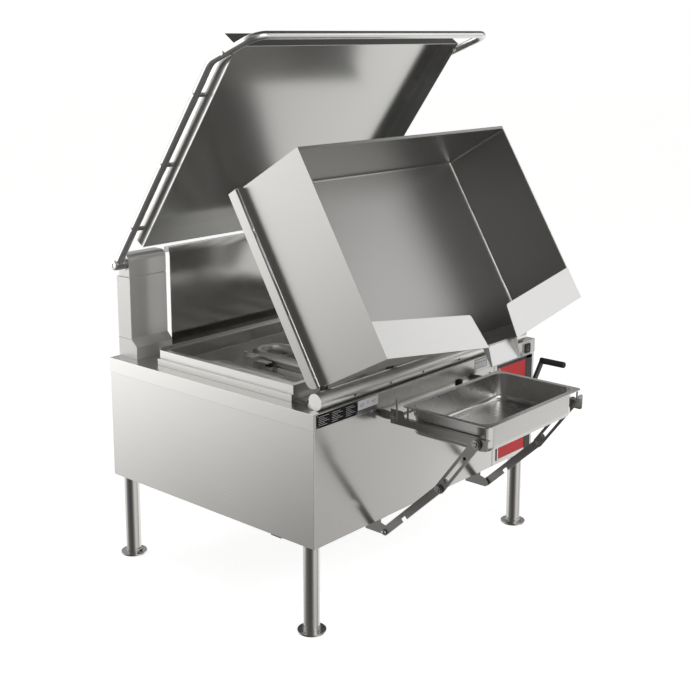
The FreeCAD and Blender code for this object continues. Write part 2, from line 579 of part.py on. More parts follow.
def pan():
    """The pan: a pot with a V front, its splash plates, spout, skirt, heated plate, arms and shaft."""
    front, rear = "pan_front", "pan_front + pan_long"
    tip = "pan_front - prow"
    left_tip, right_tip = "spout_x - spout_half", "spout_x + spout_half"

    def outline(wall, slope):
        nose = f"{tip} + {wall}" if slope == 0 else f"{front} + {slope} + {wall}"
        edge = f"{front} + {slope} + {wall}"
        back = f"{rear} - 2 * {wall}"
        return [(f"pan_left + {wall}", edge), (left_tip, nose), (right_tip, nose),
                (f"pan_right - {wall}", edge), (f"pan_right - {wall}", back), (f"pan_left + {wall}", back)]

    body = document.addObject("PartDesign::Body", "pot")
    for kind, wall, low in (("AdditiveLoft", "0", "pan_base"),
                            ("SubtractiveLoft", "pan_wall", "pan_base + pan_floor")):
        foot = sketch(body, "XY", outline(wall, "pan_slope"), low)
        rim = sketch(body, "XY", outline(wall, 0), "pan_rim")
        loft = feature(body, kind, foot)
        loft.Sections = [rim]
        loft.Ruled = True

    def inner_corner(edge):
        """The inside's floor edges at its sides and back, and its two rear corners."""
        ends = [vertex.Point for vertex in edge.Vertexes]
        floor, back = evaluate("pan_base + pan_floor"), evaluate(f"{rear} - 2 * pan_wall")
        at_back = [abs(end.y - back) < 1e-3 for end in ends]
        if all(abs(end.z - floor) < 1e-3 for end in ends):
            return any(at_back)
        return all(at_back) and min(end.z for end in ends) < floor + 1

    notch = block((f"{left_tip} + 6", f"{right_tip} - 6"), (f"{tip} - 10", f"{tip} + 30"),
                  ("pan_rim - spout_drop", "pan_rim + 10"))
    node("pan_shell", "pan", cut(rounded(body, "pan_round", inner_corner), notch))

    lip = f"{tip} + (prow + pan_slope) * spout_drop / (pan_rim - pan_base)"
    low = "pan_rim - spout_drop - sheet"
    floor = block((left_tip, right_tip), (f"{tip} - spout_long", lip), (low, "pan_rim - spout_drop"))
    side = [(lip, low), (tip, "pan_rim"), (f"{tip} - spout_long", "pan_rim - spout_drop + 4"),
            (f"{tip} - spout_long", low)]
    cheeks = [plate("YZ", side, x, "sheet") for x in (left_tip, f"{right_tip} - sheet")]
    node("spout", "pan", join(floor, *cheeks))

    plates = []
    for wall, mouth, inner in (("pan_left", left_tip, f"{left_tip} - spout_grow"),
                               ("pan_right", right_tip, f"{right_tip} + spout_grow")):
        shape = [(wall, front), (mouth, tip), (inner, f"{tip} + splash_deep"),
                 (wall, f"{front} + splash_deep")]
        flat = plate("XY", shape, "pan_rim", "sheet")
        plates.append(rounded(flat, "splash_corner",
                              along("z", x=inner, y=f"{tip} + splash_deep")))
    node("splash_plates", "pan", *plates)

    channels = []
    for near, far in (("pan_left", "pan_left - skirt_out"), ("pan_right", "pan_right + skirt_out")):
        span = (far, near) if near == "pan_left" else (near, far)
        outer = block(span, ("skirt_front", rear), ("skirt_base", "pan_base + sheet"))
        outer = rounded(outer, "skirt_round", along("x", y="skirt_front", z="skirt_base"))
        hollow_x = ((f"{far} + sheet", f"{near} + 1") if near == "pan_left"
                    else (f"{near} - 1", f"{far} - sheet"))
        hollow = block(hollow_x, ("skirt_front + sheet", f"{rear} - sheet"), ("skirt_base - 1", "pan_base"))
        hollow = rounded(hollow, "skirt_round - sheet",
                         along("x", y="skirt_front + sheet", z="skirt_base - 1"))
        outer = rounded(outer, 9, along("y", x=far, z="pan_base + sheet"))
        channels.append(cut(outer, hollow))
    back = block(("pan_left - skirt_out", "pan_right + skirt_out"), (f"{rear} - sheet", rear),
                 ("skirt_base", "pan_base"))
    node("heat_skirt", "pan", join(back, *channels))

    slab = block(("pan_left + 2", "pan_right - 2"), ("skirt_front + 26", f"{rear} - 16"),
                 ("pan_base - plate_thick", "pan_base"))
    count = int(SIZES["fin_count"])
    pitch = f"(curb_right - curb_left - 2 * curb_lip - 80) / {count - 1}"
    fins = [block((f"curb_left + curb_lip + 37 + {n} * {pitch}", f"curb_left + curb_lip + 43 + {n} * {pitch}"),
                  ("curb_front + curb_lip - tilt_y + 24", "curb_rear - curb_lip - tilt_y - 18"),
                  ("pan_base - plate_thick - fin_high", "pan_base - plate_thick"))
            for n in range(count)]
    node("heat_plate", "pan", join(slab, *fins))

    profile = [("shaft_radius + 6", "-8"), ("skirt_front + 18", "shaft_radius + 16"),
               ("skirt_front + 18", "pan_base"), ("pan_front + 20", "pan_base"),
               ("pan_front + 14", "shaft_radius + 26"), ("8", "shaft_radius + 6")]
    arms = []
    for share in (0.05, 0.35, 0.62, 0.86):
        x = f"shaft_start + {share} * (shaft_end - shaft_start)"
        web = plate("YZ", profile, x, "arm_thick")
        hub = rod("X", "shaft_radius + 8", (x, 0, 0), "arm_thick")
        arms.append(cut(join(web, hub), rod("X", "shaft_radius", (f"{x} - 1", 0, 0), "arm_thick + 2")))
    node("pan_arms", "pan", *arms)
    node("tilt_shaft", "pan", rod("X", "shaft_radius", ("shaft_start", 0, 0), "shaft_end - shaft_start"))


def mirror(piece):
    """The piece's mirror image about the cabinet's middle."""
    made = document.addObject("Part::Mirroring", "mirror")
    made.Source = piece
    made.Normal = Vector(1, 0, 0)
    bind(made, "Base.x", "cab_width / 2")
    return made


def lid():
    """The lid: a shallow tray turned over, carried by one bent tube that is also its handle."""
    bolts = [(f"-{share} * tube_long", "0") for share in (0.193, 0.518, 0.849)]
    bolts.append(("-tube_long - nose_bolt", "-nose_bolt * tan(tube_kink * 1deg)"))
    outer = block(("lid_side", mirrored("lid_side")), ("-lid_front", "-lid_rear"),
                  ("-lid_skirt", "lid_roof"))
    inner = block(("lid_side + sheet", mirrored("lid_side + sheet")),
                  ("-lid_front + sheet", "-lid_rear - sheet"), ("-lid_skirt - 1", "lid_roof - sheet"))
    holes = [rod("X", 4, ("lid_side - 5", y, z), "cab_width") for y, z in bolts]
    node("lid_shell", "lid", cut(outer, inner, *holes))

    trim = "tube_bend * tan(tube_kink / 2 * 1deg)"
    corner = "tube_radius * 3.6"
    arm = rod("Y", "tube_radius", ("tube_side", f"-tube_long + {trim}", 0), f"tube_long - {trim}")
    kink = document.addObject("Part::Torus", "kink")
    bind(kink, "Radius1", "tube_bend")
    bind(kink, "Radius2", "tube_radius")
    bind(kink, "Angle3", "tube_kink")
    kink.Placement = Placement(Vector(), Rotation(Vector(1, 0, 1), 180))
    place(kink, "tube_side", f"-tube_long + {trim}", "-tube_bend")
    nose = document.addObject("Part::Cylinder", "nose")
    bind(nose, "Radius", "tube_radius")
    bind(nose, "Height", f"tube_drop - {trim} - {corner}")
    nose.Placement = Placement(Vector(), Rotation(Vector(1, 0, 0), 90 + evaluate("tube_kink")))
    bind(nose, "Placement.Rotation.Angle", "90 + tube_kink")
    place(nose, "tube_side", f"-tube_long - {trim} * cos(tube_kink * 1deg)",
          f"-{trim} * sin(tube_kink * 1deg)")
    reach = f"(tube_drop - {corner})"
    across, down = evaluate("cos(tube_kink * 1deg)"), evaluate("sin(tube_kink * 1deg)")
    bend = document.addObject("Part::Torus", "bend")
    bind(bend, "Radius1", corner)
    bind(bend, "Radius2", "tube_radius")
    bend.Angle3 = 90
    bend.Placement = Placement(Vector(), Rotation(Vector(-1, 0, 0), Vector(0, -across, -down),
                                                  Vector(0, -down, across), "XYZ"))
    place(bend, f"tube_side + {corner}", f"-tube_long - {reach} * cos(tube_kink * 1deg)",
          f"-{reach} * sin(tube_kink * 1deg)")
    bar = rod("X", "tube_radius", (f"tube_side + {corner}", "-tube_long - tube_drop * cos(tube_kink * 1deg)",
                                   "-tube_drop * sin(tube_kink * 1deg)"),
              f"cab_width / 2 - tube_side - {corner}")
    half = join(arm, kink, nose, bend, bar)
    pivot = rod("X", "stub_radius", (-1, 0, 0), "cab_width + 2")
    spacer_holes = [rod("X", 4, (-5, y, z), "cab_width + 10") for y, z in bolts]
    node("lid_handle", "lid", cut(join(half, mirror(half)), pivot, *spacer_holes))

    stub = rod("X", "stub_radius", (0, 0, 0), "post_start + post_width + 4")
    collar = rod("X", "stub_radius + 2.5", ("post_start + 30", 0, 0), 12)
    end = join(stub, collar)
    node("lid_pivots", "lid", end, mirror(end))

    fixings = []
    for y, z in bolts:
        stem = rod("X", 4, ("tube_side - tube_radius - 1", y, z), "lid_side + 8 - tube_side + tube_radius")
        head = rod("X", 7, ("tube_side - tube_radius - 3", y, z), 3)
        spacer = rod("X", 7, ("tube_side + tube_radius", y, z), "lid_side - tube_side - tube_radius")
        nut = rod("X", 7, ("lid_side + sheet", y, z), 5)
        screw = join(stem, head, spacer, nut)
        fixings += [screw, mirror(screw)]
    node("lid_standoffs", "lid", *fixings)


def link(half, start, end, x, *cuts):
    """A flat link between two points, rounded at its ends, with whatever is cut from it."""
    (y0, z0), (y1, z1) = start, end
    long = f"sqrt((({y1}) - ({y0}))^2 + (({z1}) - ({z0}))^2)"
    bar = block((0, "link_thick"), (f"-{half}", half), (0, long))
    ends = [rod("X", half, (0, 0, z), "link_thick") for z in (0, long)]
    turned = document.addObject("Part::Compound", "link")
    turned.Links = [cut(join(bar, *ends), *cuts) if cuts else join(bar, *ends)]
    angle = f"atan2(({y0}) - ({y1}); ({z1}) - ({z0}))"
    turned.Placement = Placement(Vector(), Rotation(Vector(1, 0, 0), evaluate(angle)))
    bind(turned, "Placement.Rotation.Angle", angle)
    return place(turned, x, y0, z0)


def carrier():
    """The folding rack in front: rails hinged on one rod, two-piece stays and their brackets."""
    web_x = "rack_left - rail_out"
    profile = [("rail_rear", "rail_low"), ("rail_rear", "rack_rim - 12"), ("rail_rear - 46", "rack_rim - 12"),
               ("rail_rear - 54", "rail_top"), ("rail_front", "rail_top"), ("rail_front", "tab_low"),
               ("bolt_y + 22", "tab_low"), ("bolt_y + 22 + tab_high", "rail_low")]
    web = rounded(plate("YZ", profile, web_x, "rail_thick"), 8, along("x", y="rail_front", z="tab_low"))
    shelf = block((web_x, f"{web_x} + rail_shelf"), ("rail_front", "hinge_y - 20"),
                  ("rail_top - rail_thick", "rail_top"))
    # the pan's rim rests on posts that stand on the rail's shelf
    posts = [rod("Z", "post_rod", ("rack_left + rack_edge / 2 - 2", y, "rail_top - 1"),
                 "rail_drop + 1 - slide_fit") for y in ("rack_front + 14", "rack_front + rack_deep - 20")]
    stud = rod("X", "link_pin", ("rack_left - 14", "bolt_y", "bolt_z"), "15 - rail_out")
    head = rod("X", "link_pin + 3", ("rack_left - 14.7", "bolt_y", "bolt_z"), 2.4)
    hole = rod("X", "rod_radius", (f"{web_x} - 1", "hinge_y", "hinge_z"), 8)
    rail = cut(join(web, shelf, *posts, stud, head), hole)
    peg = rod("Z", "post_rod", ("rack_left - rail_out + 0.8", "rail_rear - 24", "rail_low + 12"),
              "rack_rim + 22 - rail_low - 12")
    # the stop turns outward, so the tray slides out past it
    stop = rounded(block((f"{web_x} - 24", f"{web_x} + rail_thick"), ("rail_front + 13", "rail_front + 16"),
                         ("rail_low - 4", "rail_top + 10")), 6, along("y", x=f"{web_x} - 24"))
    low_hole = rod("X", "link_pin + slide_fit", (-1, 0, 0), "link_thick + 2")
    catch = block((-1, "link_thick + 1"), ("-link_half - 1", "-link_half + 12"),
                  ("catch_start", "catch_end"))
    bolt = ("bolt_y", "bolt_z")
    elbow = ("elbow_y", "elbow_z")
    root = ("root_y", "root_z")
    lower_link = link("link_half", root, elbow, "rack_left - 19", low_hole, catch)
    rivet = rod("X", "link_pin + 1", ("rack_left - 22", "elbow_y", "elbow_z"), "10 - loose_fit")
    lower_link = join(lower_link, rivet)
    long = "sqrt((bolt_y - elbow_y)^2 + (bolt_z - elbow_z)^2)"
    slot = block((-1, "link_thick + 1"), ("-slot_half", "slot_half"), (f"0.145 * {long}", f"0.72 * {long}"))
    slot = rounded(slot, "slot_half - 0.5", along("x"))
    top_hole = rod("X", "link_pin + slide_fit", (-1, 0, long), "link_thick + 2")
    upper_link = link("wide_half", elbow, bolt, "rack_left - 12", slot, top_hole)
    gusset = [("sheet + 2", "cab_floor - sheet"), ("root_y + 78", "cab_floor - sheet"),
              ("root_y + 84", "root_z - 14"), ("root_y - 2", "root_z - 14"), ("root_y - 14", "root_z"),
              ("root_y - 4", "root_z + 14"), ("sheet + 2", "root_z + 20")]
    bracket = plate("YZ", gusset, "rack_left - 12", "link_thick")
    tab = block(("rack_left - 12", "rack_left + 20"), ("sheet + 2", "root_y + 78"),
                ("cab_floor - sheet", "cab_floor"))
    pin = rod("X", "link_pin", ("rack_left - 22", "root_y", "root_z"), 12)
    cap = rod("X", "link_pin + 3", ("rack_left - 23", "root_y", "root_z"), "link_gap + 0.6")
    bracket = join(bracket, tab, pin, cap)
    lug = [("sheet", "hinge_z - lug_half"), ("hinge_y - 4", "hinge_z - lug_half + 4"),
           ("hinge_y - 11", "hinge_z"), ("hinge_y - 4", "hinge_z + lug_half - 4"),
           ("sheet", "hinge_z + lug_half")]
    lug = plate("YZ", lug, "lug_left", "lug_thick")
    lug = cut(lug, rod("X", "rod_radius + slide_fit", ("lug_left - 1", "hinge_y", "hinge_z"),
                       "lug_thick + 2"))

    def opposite(piece):
        made = mirror(piece)
        bind(made, "Base.x", "rack_left + rack_long / 2")
        return made

    node("rail_left", "cabinet", join(rail, peg))
    node("rail_right", "cabinet", join(opposite(rail), opposite(stop)))
    node("lower_link_left", "cabinet", lower_link)
    node("lower_link_right", "cabinet", opposite(lower_link))
    node("upper_link_left", "cabinet", upper_link)
    node("upper_link_right", "cabinet", opposite(upper_link))
    node("carrier_brackets", "cabinet", bracket, opposite(bracket))
    node("carrier_lugs", "cabinet", lug, opposite(lug))
    node("carrier_rod", "cabinet", rod("X", "rod_radius", ("rack_left - 6", "hinge_y", "hinge_z"),
                                       "rack_long + 12"))
    node("rest_bumper", "cabinet", block(("rack_left + 384", "rack_left + 400"), (-8, "sheet"),
                                         ("deck_top - 74", "deck_top - 52")))


def steam_pan():
    """The removable steam-table pan: rolled rim, rounded corners and bottom."""
    right, back = "rack_left + rack_long", "rack_front + rack_deep"
    rim = rounded(block(("rack_left", right), ("rack_front", back), ("rack_rim", "rack_rim + 3")),
                  14, along("z"))

    def tub(inset, low, high, corner, bottom):
        made = block((f"rack_left + {inset}", f"{right} - {inset}"),
                     (f"rack_front + {inset}", f"{back} - {inset}"), (low, high))
        made = rounded(made, corner, along("z"))
        return rounded(made, bottom, lambda e: all(abs(v.Point.z - evaluate(low)) < 1e-3
                                                   for v in e.Vertexes))

    outer = tub("rack_edge", "rack_low", "rack_rim", "rack_corner", 18)
    inner = tub("(rack_edge + rack_wall)", "rack_low + rack_wall", "rack_rim + 10",
                "rack_corner - rack_wall", 16)
    node("steam_pan", "cabinet", cut(join(rim, outer), inner))


for build in (cabinet_frame, legs, panels, deck, curb, firebox, bullnose, bearings, hinge_posts,
              backsplash, controls, crank, pan, lid, carrier, steam_pan):
    build()

document.recompute()
for thing in document.Objects:
    if "Invalid" in thing.State or "Error" in thing.State:
        raise RuntimeError(f"{thing.Label} did not build: {thing.State}")

os.makedirs("parts", exist_ok=True)
for name, thing in NODES.items():
    if not thing.Shape.isValid():
        raise RuntimeError(f"{name} is not a valid shape")
    thing.Shape.exportStep(f"parts/{name}.step")
print(len(NODES), "nodes")
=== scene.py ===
"""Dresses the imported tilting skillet: finishes, small pieces, light and camera.

Lengths are in metres, in the frame's own axes: +X right, -Y to the front, +Z up.
"""

import json
import logging
import math
from dataclasses import dataclass, field
from enum import Enum

import bmesh
import bpy
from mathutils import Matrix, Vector

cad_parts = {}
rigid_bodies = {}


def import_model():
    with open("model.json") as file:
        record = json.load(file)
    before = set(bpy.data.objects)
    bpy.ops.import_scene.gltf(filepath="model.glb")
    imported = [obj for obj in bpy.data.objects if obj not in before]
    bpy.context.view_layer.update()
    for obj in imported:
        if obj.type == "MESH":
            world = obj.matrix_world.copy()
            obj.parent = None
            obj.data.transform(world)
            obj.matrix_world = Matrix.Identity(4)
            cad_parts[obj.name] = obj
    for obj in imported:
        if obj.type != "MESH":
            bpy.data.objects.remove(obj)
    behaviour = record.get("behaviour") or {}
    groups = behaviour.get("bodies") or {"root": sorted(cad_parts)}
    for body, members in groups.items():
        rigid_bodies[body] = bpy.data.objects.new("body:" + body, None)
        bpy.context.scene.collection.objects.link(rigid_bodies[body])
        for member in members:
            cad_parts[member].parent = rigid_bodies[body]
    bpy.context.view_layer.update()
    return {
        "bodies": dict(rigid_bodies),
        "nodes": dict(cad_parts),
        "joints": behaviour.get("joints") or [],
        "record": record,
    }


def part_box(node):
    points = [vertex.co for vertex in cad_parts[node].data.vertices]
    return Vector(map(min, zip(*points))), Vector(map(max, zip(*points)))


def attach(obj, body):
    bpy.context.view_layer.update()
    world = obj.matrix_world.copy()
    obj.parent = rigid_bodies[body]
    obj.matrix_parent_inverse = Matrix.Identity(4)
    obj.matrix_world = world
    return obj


log = logging.getLogger("skillet")

Tree = bpy.types.NodeTree
Socket = bpy.types.NodeSocket
Fed = Socket | float | tuple[float, ...]
Pair = tuple[float, float]
Triple = tuple[float, float, float]
Point = Vector | Triple

MM = 0.001
SEAT = 0.2 * MM  # how deep the back of a thin piece lies in the face that carries it
ROOT = 1 * MM  # how deep the foot of a thick one lies in what carries it
INK = 0.06 * MM  # how far print stands out
CAD_EDGE = 0.8 * MM  # width of the softened edges of the CAD's pieces
FINE_EDGE = 0.1 * MM  # the same for small pieces, where nothing else is said
WELD = 0.02 * MM  # corners of a CAD mesh that are nearer than this are joined

FRONT, BACK, UP = (0, -1, 0), (0, 1, 0), (0, 0, 1)


class Side(Enum):
    """The object's left or right, as the x direction in which it lies."""

    LEFT = -1
    RIGHT = 1

    def axis(self) -> Vector:
        """Returns the direction that points out of this side."""
        return Vector((self.value, 0, 0))

    def face(self, node: str, inner: bool = False) -> float:
        """Returns the x of a node's outermost face on this side, or of its innermost one."""
        low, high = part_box(node)
        return low.x if (self is Side.LEFT) != inner else high.x


class Slot(Enum):
    """The record's material slots, one of which each new piece names."""

    STEEL = "polished_steel"
    PANEL = "panel_steel"
    PAINT = "black_paint"
    PLASTIC = "black_plastic"
    FRAME = "frame_paint"


def feed(tree: Tree, socket: Socket, value: Fed) -> None:
    """Gives a node's socket what it works with.

    Args:
        tree: the tree that holds the node.
        socket: the node's input.
        value: another node's output, or a constant.
    """
    if isinstance(value, Socket):
        tree.links.new(value, socket)
    else:
        socket.default_value = value


def math_node(tree: Tree, operation: str, *values: Fed) -> Socket:
    """Adds one math node.

    Args:
        tree: the tree that gets it.
        operation: what it does, in Blender's own word.
        values: its inputs in order.

    Returns:
        The socket with its result.
    """
    node = tree.nodes.new("ShaderNodeMath")
    node.operation = operation
    for socket, value in zip(node.inputs, values):
        feed(tree, socket, value)
    return node.outputs[0]


def noise_node(tree: Tree, place: Fed, scale: Fed, detail: float) -> Socket:
    """Adds one noise texture.

    Args:
        tree: the tree that gets it.
        place: the coordinates that it reads.
        scale: its waves per unit of them.
        detail: how many finer layers it has.

    Returns:
        The socket with its value, from 0 to 1.
    """
    node = tree.nodes.new("ShaderNodeTexNoise")
    feed(tree, node.inputs["Vector"], place)
    feed(tree, node.inputs["Scale"], scale)
    feed(tree, node.inputs["Detail"], detail)
    return node.outputs["Fac"]


class Look:
    """A shader group that turns Color, Roughness and Depth into Color, Roughness and Normal."""

    def __init__(self, name: str, floats: tuple[str, ...], vectors: tuple[str, ...] = ()) -> None:
        """Starts the group.

        Args:
            name: its name.
            floats: its further inputs that are numbers.
            vectors: those that are vectors.
        """
        self.tree = bpy.data.node_groups.new(name, "ShaderNodeTree")
        for side, kind, sockets in (
                ("INPUT", "NodeSocketColor", ("Color",)),
                ("INPUT", "NodeSocketFloat", ("Roughness", "Depth", *floats)),
                ("INPUT", "NodeSocketVector", vectors), ("OUTPUT", "NodeSocketColor", ("Color",)),
                ("OUTPUT", "NodeSocketFloat", ("Roughness",)),
                ("OUTPUT", "NodeSocketVector", ("Normal",))):
            for socket in sockets:
                self.tree.interface.new_socket(socket, in_out=side, socket_type=kind)
        self.given = self.tree.nodes.new("NodeGroupInput").outputs
        self.out = self.tree.nodes.new("NodeGroupOutput").inputs
        self.place = self.tree.nodes.new("ShaderNodeTexCoord").outputs["Object"]

    def tint(self, shade: Socket) -> None:
        """Gives out the group's colour times a shade that varies about one.

        Args:
            shade: the shade.
        """
        node = self.tree.nodes.new("ShaderNodeVectorMath")
        node.operation = "SCALE"
        feed(self.tree, node.inputs[0], self.given["Color"])
        feed(self.tree, node.inputs["Scale"], shade)
        feed(self.tree, self.out["Color"], node.outputs[0])

    def bump(self, height: Socket, distance: float) -> None:
        """Gives out a normal that is ruffled by the group's depth.

        Args:
            height: the relief, from 0 to 1.
            distance: its full height, in metres.
        """
        node = self.tree.nodes.new("ShaderNodeBump")
        feed(self.tree, node.inputs["Distance"], distance)
        feed(self.tree, node.inputs["Strength"], self.given["Depth"])
        feed(self.tree, node.inputs["Height"], height)
        feed(self.tree, self.out["Normal"], node.outputs[0])


def brushing_group() -> Tree:
    """Returns the shared look of brushed sheet: streaks along the grain and cloudy patches."""
    found = bpy.data.node_groups.get("Brushing")
    if found:
        return found
    look = Look("Brushing", ("Spread", "Patch", "Mottle"), ("Grain",))
    tree, given = look.tree, look.given
    stretch = tree.nodes.new("ShaderNodeVectorMath")
    stretch.operation = "MULTIPLY"
    feed(tree, stretch.inputs[0], look.place)
    feed(tree, stretch.inputs[1], given["Grain"])
    streak = noise_node(tree, stretch.outputs[0], scale=6.0, detail=3.0)
    cloud = noise_node(tree, look.place, given["Patch"], detail=2.0)
    centred = math_node(tree, "SUBTRACT", math_node(tree, "ADD", streak, cloud), 1.0)
    feed(tree, look.out["Roughness"],
         math_node(tree, "MULTIPLY_ADD", centred, given["Spread"], given["Roughness"]))
    look.tint(math_node(tree, "MULTIPLY_ADD", centred, given["Mottle"], 1.0))
    look.bump(streak, distance=0.4 * MM)
    return tree


def moulding_group() -> Tree:
    """Returns the shared look of paint and plastic: a fine pebble texture and slight wear."""
    found = bpy.data.node_groups.get("Moulding")
    if found:
        return found
    look = Look("Moulding", ("Texture",))
    tree, given = look.tree, look.given
    pebble = noise_node(tree, look.place, given["Texture"], detail=2.0)
    wear = noise_node(tree, look.place, scale=14.0, detail=4.0)
    dulling, fading, darkest = 0.12, 0.15, 0.92
    feed(tree, look.out["Roughness"],
         math_node(tree, "MULTIPLY_ADD", wear, dulling, given["Roughness"]))
    look.tint(math_node(tree, "MULTIPLY_ADD", wear, fading, darkest))
    look.bump(pebble, distance=0.3 * MM)
    return tree


def make_material(name: str, group: Tree, values: dict[str, Fed],
                  own: dict[str, float]) -> bpy.types.Material:
    """Makes a material whose colour, roughness and normal come from a shader group.

    Args:
        name: the material's name.
        group: the shader group.
        values: what the group's inputs get.
        own: what the shader's own sockets get.

    Returns:
        The material.
    """
    material = bpy.data.materials.new(name)
    material.use_nodes = True
    tree = material.node_tree
    shader = tree.nodes["Principled BSDF"]
    for socket, value in own.items():
        shader.inputs[socket].default_value = value
    look = tree.nodes.new("ShaderNodeGroup")
    look.node_tree = group
    for socket, value in values.items():
        look.inputs[socket].default_value = value
    for socket, target in (("Color", "Base Color"), ("Roughness", "Roughness"),
                           ("Normal", "Normal")):
        tree.links.new(look.outputs[socket], shader.inputs[target])
    return material


class Grain(Enum):
    """The direction in which a sheet was brushed, as its streaks' waves along x, y and z."""

    X = (1.0, 120.0, 120.0)
    Y = (120.0, 1.0, 120.0)
    Z = (120.0, 120.0, 1.0)
    NONE = (1.0, 1.0, 1.0)


@dataclass(frozen=True)
class Metal:
    """A bare metal finish.

    Args:
        name: the material's name.
        color: base colour, linear.
        roughness: mean roughness.
        spread: how far the roughness wanders over the surface.
        grain: brushing direction.
        depth: strength of the brushing's bump.
        patch: how fine the cloudy patches are, in waves per metre.
        mottle: how far the colour wanders.
        haze: how much of its light the surface scatters evenly.
    """

    name: str
    color: Triple
    roughness: float
    spread: float = 0.05
    grain: Grain = Grain.Z
    depth: float = 0.03
    patch: float = 2.5
    mottle: float = 0.06
    haze: float = 0.0

    def build(self) -> bpy.types.Material:
        """Returns the material, made once."""
        return bpy.data.materials.get(self.name) or make_material(
            self.name, brushing_group(),
            {"Color": (*self.color, 1.0), "Roughness": self.roughness, "Spread": self.spread,
             "Grain": self.grain.value, "Patch": self.patch, "Mottle": self.mottle,
             "Depth": self.depth},
            {"Metallic": 1.0 - self.haze})


@dataclass(frozen=True)
class Coating:
    """A painted, printed, plastic or rubber finish.

    Args:
        name: the material's name.
        color: base colour, linear.
        roughness: roughness where nothing has worn it.
        texture: waves per metre of the surface's fine texture.
        depth: strength of that texture's bump.
        shine: how strongly it mirrors when seen straight on, 0.5 as plastic does.
    """

    name: str
    color: Triple
    roughness: float
    texture: float = 900.0
    depth: float = 0.05
    shine: float = 0.5

    def build(self) -> bpy.types.Material:
        """Returns the material, made once."""
        return bpy.data.materials.get(self.name) or make_material(
            self.name, moulding_group(),
            {"Color": (*self.color, 1.0), "Roughness": self.roughness, "Texture": self.texture,
             "Depth": self.depth},
            {"Specular IOR Level": self.shine})


SIDE = Metal("side_sheet", (0.668, 0.663, 0.648), 0.26, grain=Grain.Y)
FACE = Metal("front_sheet", (0.8, 0.794, 0.775), 0.17, 0.03, Grain.X)
DECK = Metal("deck_sheet", (0.69, 0.69, 0.675), 0.24, grain=Grain.X)
CURB = Metal("curb_sheet", (0.69, 0.685, 0.673), 0.3, grain=Grain.Y)
SPLASH = Metal("splash_sheet", (0.8, 0.795, 0.778), 0.14)
POST = Metal("post_sheet", (0.84, 0.834, 0.815), 0.3, haze=0.65)
POT = Metal("pot_sheet", (0.485, 0.48, 0.469), 0.34, 0.08, Grain.X, 0.04)
LIP = Metal("lip_sheet", (0.92, 0.915, 0.9), 0.4, 0.04, Grain.X)
SKIRT = Metal("skirt_sheet", (0.475, 0.475, 0.46), 0.3, grain=Grain.Y)
LID = Metal("lid_sheet", (0.706, 0.706, 0.694), 0.2, 0.04, Grain.Y)
TUBE = Metal("polished_tube", (0.798, 0.798, 0.787), 0.3, 0.04, Grain.X)
LEG = Metal("leg_tube", (0.64, 0.632, 0.614), 0.26)
NOSE = Metal("nose_tube", (0.831, 0.826, 0.809), 0.32, 0.06, Grain.X)
TRAY = Metal("drawn_tray", (0.65, 0.646, 0.633), 0.27, 0.07, Grain.NONE, 0.02, 9.0)
STAY = Metal("stay_plate", (0.37, 0.366, 0.352), 0.36, grain=Grain.NONE)
PLATE = Metal("heated_plate", (0.8, 0.8, 0.79), 0.35, grain=Grain.X)
IRON = Metal("burner_steel", (0.68, 0.67, 0.65), 0.42, 0.1, Grain.NONE, 0.08, 30.0, 0.2)
LINER = Metal("liner_sheet", (0.886, 0.881, 0.865), 0.55, 0.08, Grain.X, mottle=0.12)
BOLT = Metal("bolt_steel", (0.55, 0.55, 0.54), 0.25, grain=Grain.NONE)
BRASS = Metal("brass", (0.7, 0.5, 0.22), 0.3, grain=Grain.NONE)
BLACK = Coating("black_plastic", (0.011, 0.011, 0.012), 0.42, shine=0.12)
DIAL = Coating("dial_print", (0.75, 0.75, 0.73), 0.5)
PRINT_BLACK = Coating("printed_black", (0.012, 0.012, 0.013), 0.62, 1200.0, 0.02, shine=0.15)
FILM = Coating("pale_film", (0.68, 0.69, 0.72), 0.4)
# Dark lines and marks: print, joint lines and screws, and the painted shadow over the console's seam.
SHADE = Coating("shadow_line", (0.02, 0.02, 0.02), 0.8, shine=0.1)
# Also used for the dark bar and the painted shade at the red panel's edges.
BLACK_PAINT = Coating("black_paint", (0.012, 0.012, 0.013), 0.42, 500.0, 0.08, shine=0.08)
RED = Coating("red_panel_film", (0.74, 0.05, 0.055), 0.42, 1500.0, 0.02, shine=0.3)
RUBBER = Coating("black_rubber", (0.01, 0.01, 0.01), 0.6)
PRIMER = Coating("grey_primer", (0.06, 0.06, 0.062), 0.55)

WORN_BY = {
    PRIMER: ("base_frame", "gas_inlet_pipe", "shaft_bearings", "tilt_gearbox", "pan_arms"),
    LEG: ("leg_front_left", "leg_front_right", "leg_rear_left", "leg_rear_right", "feet"),
    SIDE: ("left_panel", "right_panel", "rear_panel"),
    FACE: ("front_panel", "console_face"),
    DECK: ("top_deck", "control_frame"),
    CURB: ("firebox_curb",),
    LINER: ("firebox_liner",),
    IRON: ("burner_tubes", "burner_manifold"),
    BRASS: ("gas_valve",),
    POST: ("igniter", "hinge_post_left", "hinge_post_right", "hinge_cap_left",
           "hinge_cap_right"),
    NOSE: ("bullnose_rail",),
    BOLT: ("hinge_bushes", "tilt_shaft", "lid_standoffs", "crank_spindle", "carrier_rod"),
    SPLASH: ("backsplash",),
    RED: ("control_panel",),
    BLACK: ("switch_bezel", "thermostat", "crank_grip", "thermostat_knob", "switch_rocker"),
    STAY: ("carrier_brackets", "carrier_lugs", "rail_left", "rail_right", "lower_link_left",
           "lower_link_right", "upper_link_left", "upper_link_right"),
    RUBBER: ("rest_bumper",),
    POT: ("pan_shell",),
    LIP: ("spout", "splash_plates"),
    SKIRT: ("heat_skirt",),
    PLATE: ("heat_plate",),
    LID: ("lid_shell",),
    TUBE: ("lid_handle", "lid_pivots"),
    BLACK_PAINT: ("crank_lever",),
    TRAY: ("steam_pan",),
}


